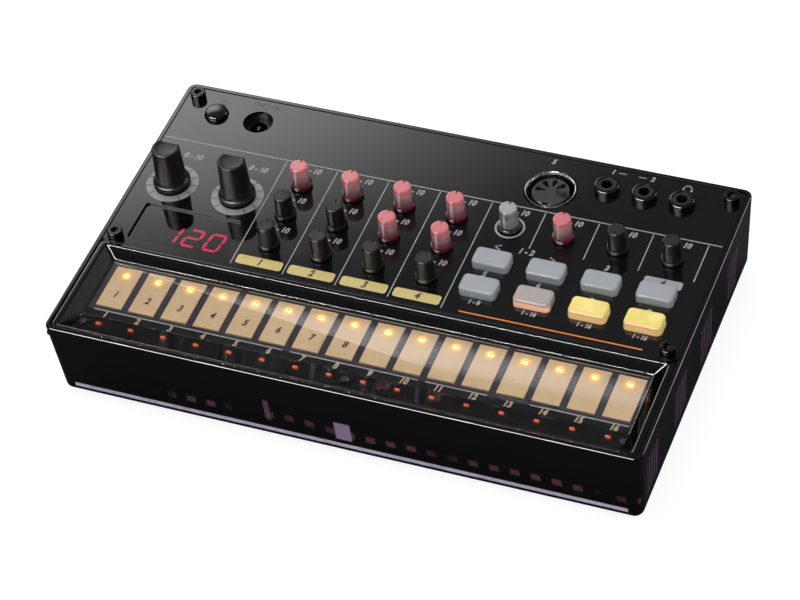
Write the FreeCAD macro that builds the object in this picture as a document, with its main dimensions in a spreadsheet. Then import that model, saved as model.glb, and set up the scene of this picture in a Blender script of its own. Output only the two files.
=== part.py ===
import FreeCAD, Part
import math
import os
import re
import Sketcher
from FreeCAD import Vector

# Desktop drum machine: a drafted dark case, a glossy top panel with knobs and keys, and a row of touch pads.
# Frame: X to the player's right, Y to the rear, Z up, origin under the middle of the case on the table.

SIZES = {
    # case
    "case_width": 193.0, "case_depth": 115.0, "case_height": 28.9, "draft_inset": 1.48,
    "corner_radius": 3.0, "wall": 1.5, "rim_round": 0.7, "base_round": 2.0,
    "foot_height": 1.5, "foot_radius": 5.0, "foot_recess": 0.6, "foot_inset": 14.0,
    # top panel
    "panel_thickness": 2.0, "panel_drop": 0.3, "panel_gap": 0.25, "panel_front": 17.3,
    "panel_screw_x": 91.05, "panel_screw_rear": 51.5, "panel_screw_front": 14.6,
    "screw_radius": 1.5, "screw_clearance": 0.2, "screw_head_radius": 2.5, "screw_head_height": 2.7,
    "screw_length": 9.0, "hex_socket_radius": 1.35, "hex_socket_depth": 1.5, "post_radius": 2.9,
    # key window and touch board
    "tray_side": 92.8, "tray_floor_side": 89.0, "tray_rear": 18.9, "tray_floor_rear": 21.5,
    "tray_floor_front": 45.6, "tray_front": 54.7, "tray_depth": 3.7, "window_thickness": 2.0,
    "window_seam": 0.2, "ledge_width": 1.2, "ledge_height": 1.5,
    "pad_count": 16, "pad_pitch": 11.05, "pad_width": 8.65, "pad_length": 16.9, "pad_rear": 22.9,
    "pad_thickness": 0.6, "pad_clearance": 0.2, "pad_lamp_hole": 1.1, "lamp_size": 1.4, "lamp_height": 0.5,
    "pad_lamp_setback": 3.2, "front_lamp_y": 48.0, "front_lamp_height": 1.0,
    "board_thickness": 1.6, "touch_board_width": 184.0, "touch_board_front": 51.5,
    # boards
    "pot_room": 6.0, "main_board_width": 180.0, "main_board_rear": 31.6, "main_board_front": 16.4,
    "notch_side": 2.8, "notch_front": 6.0, "rear_board_depth": 21.0, "rear_board_rear": 54.0, "rear_board_width": 174.0,
    "jack_depth": 12.4, "board_post_radius": 2.6, "board_screw_radius": 1.0, "board_screw_head": 1.9,
    "board_screw_length": 6.0, "board_screw_head_height": 1.1, "pilot_clearance": 0.05,
    # small knobs
    "column_pitch": 17.6, "first_column": 42.2, "row_rear": 22.1, "row_pitch": 13.6,
    "knob_height": 8.9, "knob_lift": 0.4, "collar_radius": 3.5, "collar_height": 1.2,
    "knob_foot_radius": 2.95, "knob_top_radius": 2.8, "knob_edge": 0.3, "notch_width": 0.8,
    "notch_length": 1.3, "notch_depth": 0.8, "stem_radius": 2.0, "stem_hole_gap": 0.5,
    "pot_width": 9.6, "pot_height": 4.8, "pot_bore_depth": 4.0, "running_gap": 0.05, "end_gap": 0.4,
    # large knobs
    "dial_left": 83.1, "dial_right": 60.3, "dial_y": 12.0, "dial_height": 15.9, "dial_lift": 1.0,
    "dial_skirt_radius": 6.0, "dial_skirt_height": 1.5, "dial_neck_radius": 4.9, "dial_top_radius": 4.4,
    "dial_edge": 0.45, "dial_dish": 0.7, "dial_cut_top": 2.3, "dial_cut_depth": 8.0,
    "shaft_radius": 3.0, "shaft_reach": 11.0, "shaft_fit": 0.02, "large_pot_width": 11.0,
    # keys
    "key_column": 28.2, "key_row_rear": 6.2, "key_row_front": 5.6, "key_width": 11.8, "key_depth": 7.0,
    "key_height": 3.0, "key_corner": 1.5, "key_edge": 0.9, "key_gap": 0.35, "key_flange": 1.2,
    "key_flange_height": 0.9, "key_travel": 1.0, "switch_width": 6.0, "switch_body": 2.6,
    "switch_button_radius": 1.6, "switch_button_height": 0.6,
    "power_x": 82.0, "power_y": 45.5, "power_radius": 3.75, "power_gap": 0.35, "power_height": 2.0,
    "power_dome": 0.9, "power_stem_radius": 1.6,
    # sockets
    "din_x": 35.0, "din_y": 41.2, "din_ring_radius": 8.2, "din_ring_wall": 0.9, "din_hole_gap": 0.4,
    "din_ring_rise": 0.5, "din_insert_radius": 6.3, "din_insert_drop": 0.6, "din_base_height": 2.4,
    "din_pin_circle": 3.6, "din_pin_radius": 0.85, "din_pin_depth": 7.0, "din_key_width": 2.2,
    "din_key_depth": 1.0,
    "jack_first_x": 52.0, "jack_pitch": 12.25, "jack_y": 46.2, "jack_body_width": 10.4,
    "jack_bushing_radius": 3.0, "jack_bore_radius": 1.8, "jack_rise": 2.2, "jack_end": 1.0,
    "ring_radius": 4.2, "ring_height": 2.5, "ring_round": 0.9, "ring_fit": 0.05, "panel_fit": 0.2,
    "dc_x": 67.3, "dc_y": 45.7, "dc_hole_radius": 5.0, "dc_body_width": 11.4, "dc_bore_radius": 3.0,
    "dc_pin_radius": 0.9, "dc_depth": 9.0, "dc_mouth_radius": 4.3, "dc_mouth_depth": 1.0,
    # display
    "display_left": 87.6, "display_width": 33.6, "display_rear": 2.0, "display_depth": 16.2,
    "display_corner": 1.2, "display_recess": 0.8, "display_lip_thickness": 1.0, "display_lip": 0.4, "display_fit": 0.15,
    "display_module_height": 4.6, "display_module_side": 1.6,
    # battery bay, speaker
    "battery_radius": 7.1, "battery_length": 49.2, "battery_nub_radius": 2.7, "battery_nub_length": 1.2,
    "battery_gap": 0.3, "contact_room": 3.0, "contact_thickness": 0.5, "spring_radius": 3.4,
    "bay_x": -25.0, "bay_y": 8.4, "bay_wall": 2.0, "bay_lap": 1.0, "cover_gap": 0.4,
    "cover_tab_width": 9.0, "cover_tab_reach": 2.0, "cover_tab_thickness": 1.2, "grip_ribs": 5,
    "grip_setback": 4.0, "grip_pitch": 2.0, "grip_width": 16.0, "grip_depth": 0.5,
    "speaker_x": 62.0, "speaker_y": 4.0, "speaker_radius": 17.5, "speaker_depth": 8.0,
    "magnet_radius": 9.5, "magnet_height": 4.0, "cone_radius": 14.0, "grille_slots": 7,
    "grille_pitch": 3.6, "grille_slot_width": 1.6, "rib_count": 20, "rib_pitch": 8.4, "rib_thickness": 0.8,
    "rib_reach": 2.0, "rib_height": 13.0,
}

doc = FreeCAD.newDocument("drum_machine")
sheet = doc.addObject("Spreadsheet::Sheet", "sizes")
for row, (size_name, size_value) in enumerate(SIZES.items(), start=1):
    sheet.set("A%d" % row, size_name)
    sheet.set("B%d" % row, str(size_value))
    sheet.setAlias("B%d" % row, size_name)
doc.recompute()

WORD = re.compile(r"\b[a-z]+(?:_[a-z]+)*\b")
HANDED_IN = {}


def formula(text):
    """Points each size name of a formula at its cell."""
    text = str(text)
    return WORD.sub(lambda found: "sizes." + found.group(0) if found.group(0) in SIZES else found.group(0), text)


def value(text):
    """The number that a formula of size names stands for."""
    number = sheet.evalExpression(formula(text))
    return float(getattr(number, "Value", number))


def bind(item, place, text):
    item.setExpression(place, formula(text))


def locate(item, x, y, z):
    bind(item, "Placement.Base.x", x)
    bind(item, "Placement.Base.y", y)
    bind(item, "Placement.Base.z", z)
    return item


def box(x, y, z, width, depth, height):
    """A block centred on x and y that stands on z."""
    block = doc.addObject("Part::Box", "block")
    bind(block, "Length", width)
    bind(block, "Width", depth)
    bind(block, "Height", height)
    return locate(block, "(%s) - (%s) / 2" % (x, width), "(%s) - (%s) / 2" % (y, depth), z)


def cylinder(x, y, z, radius, height):
    rod = doc.addObject("Part::Cylinder", "rod")
    bind(rod, "Radius", radius)
    bind(rod, "Height", height)
    return locate(rod, x, y, z)


def cone(x, y, z, foot, top, height):
    taper = doc.addObject("Part::Cone", "taper")
    bind(taper, "Radius1", foot)
    bind(taper, "Radius2", top)
    bind(taper, "Height", height)
    return locate(taper, x, y, z)


def fuse(pieces):
    if len(pieces) == 1:
        return pieces[0]
    joined = doc.addObject("Part::MultiFuse", "joined")
    joined.Shapes = pieces
    joined.Refine = True
    return joined


def group(pieces):
    """Like pieces that share a node and stay separate solids."""
    gathered = doc.addObject("Part::Compound", "gathered")
    gathered.Links = pieces
    return gathered


def cut(base, tools):
    carved = doc.addObject("Part::Cut", "carved")
    carved.Base = base
    carved.Tool = fuse(tools)
    carved.Refine = True
    return carved


def rounded(base, radius, wanted):
    """Rounds the edges of a block that the test picks."""
    doc.recompute()
    size = value(radius)
    edges = [(n, size, size) for n, edge in enumerate(base.Shape.Edges, start=1) if wanted(edge)]
    smooth = doc.addObject("Part::Fillet", "smooth")
    smooth.Base = base
    smooth.Edges = edges
    return smooth


def upright(edge):
    ends = [vertex.Point for vertex in edge.Vertexes]
    return len(ends) == 2 and abs(ends[0].z - ends[1].z) > 0.9 * edge.Length


def at_height(level):
    def test(edge):
        bounds = edge.BoundBox
        return abs(bounds.ZMin - level) < 1e-4 and abs(bounds.ZMax - level) < 1e-4
    return test


def hand_in(node, item):
    item.Label = node
    HANDED_IN[node] = item
    return item


def body_at(x, y, z):
    body = doc.addObject("PartDesign::Body", "body")
    locate(body, x, y, z)
    return body


def plane_sketch(body, role, lift="0"):
    plane = [item for item in body.Origin.OriginFeatures if item.Role == role][0]
    sketch = body.newObject("Sketcher::SketchObject", "outline")
    sketch.AttachmentSupport = [(plane, "")]
    sketch.MapMode = "FlatFace"
    bind(sketch, "AttachmentOffset.Base.z", lift)
    return sketch


def outline(sketch, points):
    """A closed outline through points given as pairs of formulas, each bound to the sheet."""
    places = [Vector(value(x), value(y), 0) for x, y in points]
    count = len(points)
    for n in range(count):
        sketch.addGeometry(Part.LineSegment(places[n], places[(n + 1) % count]), False)
    for n in range(count):
        sketch.addConstraint(Sketcher.Constraint("Coincident", n, 2, (n + 1) % count, 1))
    for n, (x, y) in enumerate(points):
        for kind, axis, text, number in (("DistanceX", -2, x, places[n].x), ("DistanceY", -1, y, places[n].y)):
            if text == "0":
                sketch.addConstraint(Sketcher.Constraint("PointOnObject", n, 1, axis))
            else:
                index = sketch.addConstraint(Sketcher.Constraint(kind, -1, 1, n, 1, number))
                bind(sketch, "Constraints[%d]" % index, text)
    return sketch


def oblong(width, depth):
    """The four corners of a rectangle about the sketch's own centre."""
    across = "(%s) / 2" % width
    along = "(%s) / 2" % depth
    return [("-" + across, "-" + along), (across, "-" + along), (across, along), ("-" + across, along)]


def pad(body, sketch, height):
    feature = body.newObject("PartDesign::Pad", "pad")
    feature.Profile = sketch
    bind(feature, "Length", height)
    return feature


def pocket(body, sketch, depth, both_ways=False):
    feature = body.newObject("PartDesign::Pocket", "pocket")
    feature.Profile = sketch
    feature.Midplane = both_ways
    bind(feature, "Length", depth)
    return feature


def revolve(body, sketch):
    feature = body.newObject("PartDesign::Revolution", "turned")
    feature.Profile = sketch
    feature.ReferenceAxis = (sketch, ["V_Axis"])
    feature.Angle = 360.0
    return feature


def body_fillet(body, base, radius, wanted):
    doc.recompute()
    names = ["Edge%d" % n for n, edge in enumerate(base.Shape.Edges, start=1) if wanted(edge)]
    feature = body.newObject("PartDesign::Fillet", "fillet")
    feature.Base = (base, names)
    bind(feature, "Radius", radius)
    return feature


# Heights that several pieces share
CASE_FOOT = "foot_height"
RIM = "(foot_height + case_height)"
PANEL_TOP = "(foot_height + case_height - panel_drop)"
PANEL_UNDER = "(foot_height + case_height - panel_drop - panel_thickness)"
CASE_FLOOR = "(foot_height + wall)"
MAIN_BOARD_TOP = "(%s - pot_room)" % PANEL_UNDER
REAR_BOARD_TOP = "(%s - jack_depth)" % PANEL_UNDER
WINDOW_UNDER = "(%s - tray_depth - window_thickness)" % RIM
TOUCH_BOARD_TOP = "(%s - pad_clearance - pad_thickness)" % WINDOW_UNDER
INNER_WIDTH = "(case_width - 2 * wall)"
INNER_DEPTH = "(case_depth - 2 * wall)"
PANEL_WIDTH = "(%s - 2 * panel_gap)" % INNER_WIDTH
PANEL_REAR = "(%s / 2 - panel_gap)" % INNER_DEPTH

# Plan positions that repeat
SMALL_KNOBS = {}
for column, letter in enumerate("abcd"):
    for rank in range(3):
        SMALL_KNOBS["knob_%s%d" % (letter, rank + 1)] = (
            "(%d * column_pitch - first_column)" % column, "(row_rear - %d * row_pitch)" % rank)
for column, knob_name in enumerate(["speed_knob", "tempo_knob", "level_knob", "volume_knob"], start=4):
    SMALL_KNOBS[knob_name] = ("(%d * column_pitch - first_column)" % column, "row_rear")
DIALS = {"left": "-dial_left", "right": "-dial_right"}
KEYS = {}
for column in range(4):
    KEYS["key_rear_%d" % (column + 1)] = ("(key_column + %d * column_pitch)" % column, "key_row_rear")
    KEYS["key_front_%d" % (column + 1)] = ("(key_column + %d * column_pitch)" % column, "(-key_row_front)")
JACKS = {"sync_in_jack": "jack_first_x", "sync_out_jack": "(jack_first_x + jack_pitch)",
         "phones_jack": "(jack_first_x + 2 * jack_pitch)"}
PANEL_SCREWS = [(x, y) for x in ("-panel_screw_x", "panel_screw_x")
                for y in ("panel_screw_rear", "(-panel_screw_front)")]


# Battery bay: two batteries end to end, three rows
BATTERY_PITCH = "(2 * battery_radius + battery_gap)"
CELL_LENGTH = "(battery_length + battery_nub_length + 2 * contact_room)"
BAY_LENGTH = "(2 * %s)" % CELL_LENGTH
BAY_DEPTH = "(3 * %s + battery_gap)" % BATTERY_PITCH
COVER_LENGTH = "(%s + 2 * bay_lap)" % BAY_LENGTH
COVER_DEPTH = "(%s + 2 * bay_lap)" % BAY_DEPTH
BATTERY_AXIS = "(%s + cover_gap + battery_radius)" % CASE_FLOOR
BAY_CEILING = "(%s + battery_radius + battery_gap)" % BATTERY_AXIS
COVER_FRONT = "(bay_y - %s / 2)" % COVER_DEPTH
COVER_TABS = ["(bay_x - %s / 4)" % COVER_LENGTH, "(bay_x + %s / 4)" % COVER_LENGTH]


def make_case():
    """The drafted, shelled tub with its posts, ledge, ribs, battery bay and speaker grille."""
    body = body_at("0", "0", CASE_FOOT)
    foot = outline(plane_sketch(body, "XY_Plane"),
                   oblong("case_width - 2 * draft_inset", "case_depth - 2 * draft_inset"))
    block = pad(body, foot, "case_height")
    bind(block, "TaperAngle", "atan(draft_inset / case_height)")
    corners = body_fillet(body, block, "corner_radius", upright)
    underside = body_fillet(body, corners, "base_round", at_height(0.0))
    doc.recompute()
    hollow = pocket(body, outline(plane_sketch(body, "XY_Plane", "case_height"),
                                  oblong(INNER_WIDTH, INNER_DEPTH)), "case_height - wall")
    bind(hollow, "TaperAngle", "-atan(draft_inset / case_height)")
    doc.recompute()
    shell = body_fillet(body, hollow, "corner_radius - wall",
                        lambda edge: upright(edge) and edge.Length > value("case_height - wall") - 0.1
                        and abs(edge.Vertexes[0].Point.x) < value("case_width / 2 - wall / 2"))
    doc.recompute()
    high = value("case_height")
    reach = value("case_width / 2 - wall / 2")
    depth_reach = value("case_depth / 2 - wall / 2")

    def outer_rim(edge):
        middle = edge.BoundBox.Center
        level = abs(edge.BoundBox.ZMin - high) < 1e-3 and abs(edge.BoundBox.ZMax - high) < 1e-3
        return level and (abs(middle.x) > reach or abs(middle.y) > depth_reach
                          or edge.distToShape(Part.Vertex(0, 0, high))[0] > math.hypot(reach, depth_reach) - 1.6)

    rim = body_fillet(body, shell, "rim_round", outer_rim)
    body.Tip = rim
    added = []
    for x, y in PANEL_SCREWS:
        added.append(cylinder(x, y, "foot_height + wall / 2", "post_radius",
                              "%s - foot_height - wall / 2" % PANEL_UNDER))
    for x, y, top_level in BOARD_POSTS:
        added.append(cylinder(x, y, "foot_height + wall / 2", "board_post_radius",
                              "%s - board_thickness - foot_height - wall / 2" % top_level))
    ledge_z = "%s - ledge_height" % PANEL_UNDER
    ledge = cut(box("0", "0", ledge_z, "%s + wall" % INNER_WIDTH, "%s + wall" % INNER_DEPTH, "ledge_height"),
                [box("0", "0", "%s - 1" % ledge_z, "%s - 2 * ledge_width" % INNER_WIDTH,
                     "%s - 2 * ledge_width" % INNER_DEPTH, "ledge_height + 2")])
    added.append(ledge)
    for n in range(int(SIZES["rib_count"])):
        added.append(box("(%d - (rib_count - 1) / 2) * rib_pitch" % n,
                         "-(%s / 2 - draft_inset) + rib_reach / 2 - wall / 4" % INNER_DEPTH,
                         "foot_height + wall / 2", "rib_thickness", "rib_reach + wall / 2", "rib_height"))
    bay_walls = cut(box("bay_x", "bay_y", CASE_FLOOR, "%s + 2 * bay_wall" % BAY_LENGTH,
                        "%s + 2 * bay_wall" % BAY_DEPTH, "%s + wall - %s" % (BAY_CEILING, CASE_FLOOR)),
                    [box("bay_x", "bay_y", "%s - 1" % CASE_FLOOR, BAY_LENGTH, BAY_DEPTH,
                         "%s - %s + 1" % (BAY_CEILING, CASE_FLOOR))])
    added.append(bay_walls)
    added.append(cylinder("speaker_x", "speaker_y", "foot_height + wall / 2", "speaker_radius + 2",
                          "wall / 2 + 2.5"))
    removed = [box("bay_x", "bay_y", "foot_height - 1", "%s + 2 * cover_gap" % COVER_LENGTH,
                   "%s + 2 * cover_gap" % COVER_DEPTH, "wall + cover_gap + 1"),
               cylinder("speaker_x", "speaker_y", CASE_FLOOR, "speaker_radius + end_gap", "4")]
    for x in COVER_TABS:
        removed.append(box(x, "bay_y - %s / 2 - cover_tab_reach / 2" % COVER_DEPTH, "%s + cover_gap - 0.4" % CASE_FLOOR,
                           "cover_tab_width + 2", "cover_tab_reach + 3", "5"))
    for n in range(int(SIZES["grille_slots"])):
        offset = "(%d - (grille_slots - 1) / 2) * grille_pitch" % n
        reach_now = "2 * sqrt(cone_radius * cone_radius - (%s) * (%s))" % (offset, offset)
        removed.append(box("speaker_x", "speaker_y + %s" % offset, "foot_height - 1", reach_now,
                           "grille_slot_width", "wall + 2"))
    for x, y in FEET:
        removed.append(cylinder(x, y, "foot_height - 1", "foot_radius + pilot_clearance", "foot_recess + 1"))
    for x, y in PANEL_SCREWS:
        removed.append(cylinder(x, y, "%s - screw_length" % PANEL_UNDER, "screw_radius + pilot_clearance",
                                "screw_length + 1"))
    for x, y, top_level in BOARD_POSTS:
        removed.append(cylinder(x, y, "%s - board_screw_length" % top_level,
                                "board_screw_radius + pilot_clearance", "board_screw_length + 1"))
    hand_in("bottom_case", cut(fuse([body] + added), removed))


BOARD_POSTS = []
for post_x in ("(-main_board_width / 2 + 3)", "(main_board_width / 2 - 6)"):
    BOARD_POSTS.append((post_x, "(main_board_rear - 2.8)", MAIN_BOARD_TOP))
BOARD_POSTS.append(("(main_board_width / 2 - 13)", "(-main_board_front + 3.4)", MAIN_BOARD_TOP))
for post_x in ("(-rear_board_width / 2 + 5)", "10", "(rear_board_width / 2 - 2.9)"):
    BOARD_POSTS.append((post_x, "(rear_board_rear - 3)", REAR_BOARD_TOP))
for post_x in ("(-touch_board_width / 2 + 4)", "0", "(touch_board_width / 2 - 4)"):
    BOARD_POSTS.append((post_x, "(-touch_board_front + 2.9)", TOUCH_BOARD_TOP))
FEET = [(x, y) for x in ("(-case_width / 2 + foot_inset)", "(case_width / 2 - foot_inset)")
        for y in ("(-case_depth / 2 + foot_inset)", "(case_depth / 2 - foot_inset)")]


def make_panel():
    """The flat top panel with every opening that it carries."""
    depth = "(%s + panel_front)" % PANEL_REAR
    plate = rounded(box("0", "%s - %s / 2" % (PANEL_REAR, depth), PANEL_UNDER, PANEL_WIDTH, depth,
                        "panel_thickness"), "corner_radius - wall", upright)
    through = "%s - 1" % PANEL_UNDER
    deep = "panel_thickness + 2"
    holes = []
    for x, y in SMALL_KNOBS.values():
        holes.append(cylinder(x, y, through, "stem_radius + stem_hole_gap", deep))
    for x in DIALS.values():
        holes.append(cylinder(x, "dial_y", through, "shaft_radius + stem_hole_gap", deep))
    for x, y in KEYS.values():
        holes.append(rounded(box(x, y, through, "key_width + 2 * key_gap", "key_depth + 2 * key_gap", deep),
                             "key_corner + key_gap", upright))
    for x in JACKS.values():
        holes.append(cylinder(x, "jack_y", through, "jack_bushing_radius + panel_fit", deep))
    for x, y in PANEL_SCREWS:
        holes.append(cylinder(x, y, through, "screw_radius + screw_clearance", deep))
    holes.append(cylinder("-power_x", "power_y", through, "power_radius + power_gap", deep))
    holes.append(cylinder("-dc_x", "dc_y", through, "dc_hole_radius", deep))
    holes.append(cylinder("din_x", "din_y", through, "din_ring_radius + din_hole_gap", deep))
    holes.append(rounded(box("-display_left + display_width / 2", "display_rear - display_depth / 2", through,
                             "display_width", "display_depth", deep), "display_corner", upright))
    hand_in("top_panel", cut(plate, holes))


def make_window():
    """The clear moulding over the pads: a rim at panel height whose sides slope to a lower floor."""
    rear = "(panel_front + window_seam)"
    front = "(%s / 2 - panel_gap)" % INNER_DEPTH
    side = "(%s / 2)" % PANEL_WIDTH
    plate = rounded(box("0", "-(%s + %s) / 2" % (rear, front), PANEL_UNDER, "2 * %s" % side,
                        "%s - %s" % (front, rear), "panel_thickness"), "corner_radius - wall",
                    lambda edge: upright(edge) and edge.Vertexes[0].Point.y < -value("tray_front"))

    def basin(lower, name):
        hollow = doc.addObject("Part::Loft", name)
        rings = []
        for level, half, back, fore in (("(%s + 0.5)" % RIM, "tray_side", "tray_rear", "tray_front"),
                                        (PANEL_TOP, "tray_side", "tray_rear", "tray_front"),
                                        ("(%s - tray_depth)" % RIM, "tray_floor_side", "tray_floor_rear",
                                         "tray_floor_front")):
            ring = doc.addObject("Sketcher::SketchObject", "ring")
            bind(ring, "Placement.Base.z", "%s - (%s)" % (level, lower))
            outline(ring, [("-" + half, "-" + fore), (half, "-" + fore), (half, "-" + back), ("-" + half, "-" + back)])
            rings.append(ring)
        hollow.Sections = rings
        hollow.Solid = True
        hollow.Ruled = True
        return hollow

    outer = cut(basin("window_thickness", "underside"),
                [box("0", "0", PANEL_UNDER, "case_width", "case_depth", "panel_thickness + 5")])
    hand_in("key_window", cut(fuse([plate, outer]), [basin("0", "hollow")]))


def pad_x(n):
    return "((%d - (pad_count - 1) / 2) * pad_pitch)" % n


def make_touch_board():
    """The board under the window with sixteen touch pads and their lamps."""
    rear = "(panel_front + window_seam + 1)"
    depth = "(touch_board_front - %s)" % rear
    blank = box("0", "-(%s + touch_board_front) / 2" % rear, "%s - board_thickness" % TOUCH_BOARD_TOP,
                "touch_board_width", depth, "board_thickness")
    screw_holes = [cylinder(x, y, "%s - board_thickness - 1" % level, "board_screw_radius + screw_clearance",
                            "board_thickness + 2") for x, y, level in BOARD_POSTS if level == TOUCH_BOARD_TOP]
    hand_in("touch_board", cut(blank, screw_holes))
    lamp_y = "-(pad_rear + pad_lamp_setback)"
    pads = []
    lamps = []
    front_lamps = []
    for n in range(int(SIZES["pad_count"])):
        slab = box(pad_x(n), "-(pad_rear + pad_length / 2)", TOUCH_BOARD_TOP, "pad_width", "pad_length",
                   "pad_thickness")
        pads.append(cut(slab, [cylinder(pad_x(n), lamp_y, "%s - 1" % TOUCH_BOARD_TOP, "pad_lamp_hole", "3")]))
        lamps.append(box(pad_x(n), lamp_y, TOUCH_BOARD_TOP, "lamp_size", "lamp_size * 0.6", "lamp_height"))
        front_lamps.append(box(pad_x(n), "-front_lamp_y", TOUCH_BOARD_TOP, "lamp_size", "lamp_size * 0.6",
                               "front_lamp_height"))
    hand_in("touch_pads", group(pads))
    hand_in("pad_lamps", group(lamps))
    hand_in("front_lamps", group(front_lamps))


def board_holes(level):
    return [cylinder(x, y, "%s - board_thickness - 1" % top, "board_screw_radius + screw_clearance",
                     "board_thickness + 2") for x, y, top in BOARD_POSTS if top == level]


def make_boards():
    depth = "(main_board_rear + main_board_front)"
    blank = box("0", "(main_board_rear - main_board_front) / 2", "%s - board_thickness" % MAIN_BOARD_TOP,
                "main_board_width", depth, "board_thickness")
    notches = [box(x, "-main_board_front", "%s - board_thickness - 1" % MAIN_BOARD_TOP, "2 * notch_side",
                   "2 * notch_front", "board_thickness + 2") for x in ("-main_board_width / 2", "main_board_width / 2")]
    hand_in("main_board", cut(blank, notches + board_holes(MAIN_BOARD_TOP)))
    rear_blank = box("0", "rear_board_rear - rear_board_depth / 2", "%s - board_thickness" % REAR_BOARD_TOP,
                     "rear_board_width", "rear_board_depth", "board_thickness")
    hand_in("rear_board", cut(rear_blank, board_holes(REAR_BOARD_TOP)))
    screws = []
    for x, y, level in BOARD_POSTS:
        shank = cylinder(x, y, "%s - board_screw_length + 0.4" % level, "board_screw_radius",
                         "board_screw_length - 0.4")
        head = cone(x, y, level, "board_screw_head", "board_screw_head * 0.7", "board_screw_head_height")
        screws.append(fuse([shank, head]))
    hand_in("board_screws", group(screws))


def make_small_knob(node, x, y):
    """A moulded knob: stem, collar, barrel and a pointer notch at the rear of its top."""
    foot = "(%s + pot_height - pot_bore_depth + end_gap)" % MAIN_BOARD_TOP
    body = body_at(x, y, foot)
    collar = "(%s + knob_lift - %s)" % (PANEL_TOP, foot)
    top = "(%s + knob_height - %s)" % (PANEL_TOP, foot)
    profile = outline(plane_sketch(body, "XZ_Plane"), [
        ("0", "0"), ("stem_radius", "0"), ("stem_radius", collar), ("collar_radius", collar),
        ("collar_radius", "%s + collar_height" % collar), ("knob_foot_radius", "%s + collar_height" % collar),
        ("knob_top_radius", "%s - knob_edge" % top), ("knob_top_radius - knob_edge", top), ("0", top)])
    revolve(body, profile)
    notch = outline(plane_sketch(body, "XY_Plane", top), [
        ("-notch_width / 2", "knob_top_radius - notch_length"), ("notch_width / 2", "knob_top_radius - notch_length"),
        ("notch_width / 2", "knob_top_radius + 1"), ("-notch_width / 2", "knob_top_radius + 1")])
    body.Tip = pocket(body, notch, "notch_depth")
    hand_in(node, body)


def make_dial(side, x):
    """A tall tapered knob with a skirt, a dished top and one flank cut away as its pointer."""
    body = body_at(x, "dial_y", "%s + dial_lift" % PANEL_TOP)
    top = "(dial_height - dial_lift)"
    bore = "(shaft_radius + shaft_fit)"
    reach = "(shaft_reach + end_gap)"
    profile = outline(plane_sketch(body, "XZ_Plane"), [
        (bore, "0"), ("dial_skirt_radius - dial_edge", "0"), ("dial_skirt_radius", "dial_edge"),
        ("dial_skirt_radius", "dial_skirt_height"), ("dial_neck_radius", "dial_skirt_height + 2 * dial_edge"),
        ("dial_top_radius", "%s - dial_edge" % top), ("dial_top_radius - dial_edge", top),
        ("dial_top_radius - 2 * dial_edge", "%s - dial_edge / 3" % top),
        ("(dial_top_radius - 2 * dial_edge) / 2", "%s - dial_dish * 0.85" % top),
        ("0", "%s - dial_dish" % top), ("0", reach), (bore, reach)])
    revolve(body, profile)
    flank = outline(plane_sketch(body, "YZ_Plane"), [
        ("dial_cut_top", "%s + 1" % top), ("dial_cut_top", top),
        ("dial_neck_radius", "%s - dial_cut_depth" % top), ("dial_neck_radius + 2", "%s - dial_cut_depth" % top),
        ("dial_neck_radius + 2", "%s + 1" % top)])
    body.Tip = pocket(body, flank, "4 * dial_skirt_radius", both_ways=True)
    hand_in("dial_%s" % side, body)
    foot = "(%s + pot_height - pot_bore_depth + end_gap)" % MAIN_BOARD_TOP
    shaft = cylinder(x, "dial_y", foot, "shaft_radius", "%s + dial_lift + shaft_reach - %s" % (PANEL_TOP, foot))
    hand_in("dial_shaft_%s" % side, shaft)


def make_pots():
    """The potentiometers on the main board, each with a bore for its stem or shaft."""
    small = []
    for x, y in SMALL_KNOBS.values():
        can = box(x, y, MAIN_BOARD_TOP, "pot_width", "pot_width", "pot_height")
        small.append(cut(can, [cylinder(x, y, "%s + pot_height - pot_bore_depth" % MAIN_BOARD_TOP,
                                        "stem_radius + running_gap", "pot_bore_depth + 1")]))
    hand_in("small_pots", group(small))
    large = []
    for x in DIALS.values():
        can = box(x, "dial_y", MAIN_BOARD_TOP, "large_pot_width", "large_pot_width", "pot_height")
        large.append(cut(can, [cylinder(x, "dial_y", "%s + pot_height - pot_bore_depth" % MAIN_BOARD_TOP,
                                        "shaft_radius + running_gap", "pot_bore_depth + 1")]))
    hand_in("large_pots", group(large))


KEY_FLANGE_FOOT = "(%s - end_gap - key_flange_height)" % PANEL_UNDER


def make_key(node, x, y):
    """A rubber key: a rounded cap through the panel and a wider flange that holds it in."""
    body = body_at(x, y, KEY_FLANGE_FOOT)
    pad(body, outline(plane_sketch(body, "XY_Plane"),
                      oblong("key_width + 2 * key_flange", "key_depth + 2 * key_flange")), "key_flange_height")
    tall = "(%s + key_height - %s)" % (PANEL_TOP, KEY_FLANGE_FOOT)
    cap = pad(body, outline(plane_sketch(body, "XY_Plane"), oblong("key_width", "key_depth")), tall)
    doc.recompute()
    half = value("key_width") / 2 + 0.1

    def cap_corner(edge):
        return upright(edge) and abs(edge.Vertexes[0].Point.x) < half and edge.Length > 1.5

    corners = body_fillet(body, cap, "key_corner", cap_corner)
    doc.recompute()
    body.Tip = body_fillet(body, corners, "key_edge", at_height(value(tall)))
    hand_in(node, body)


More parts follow.
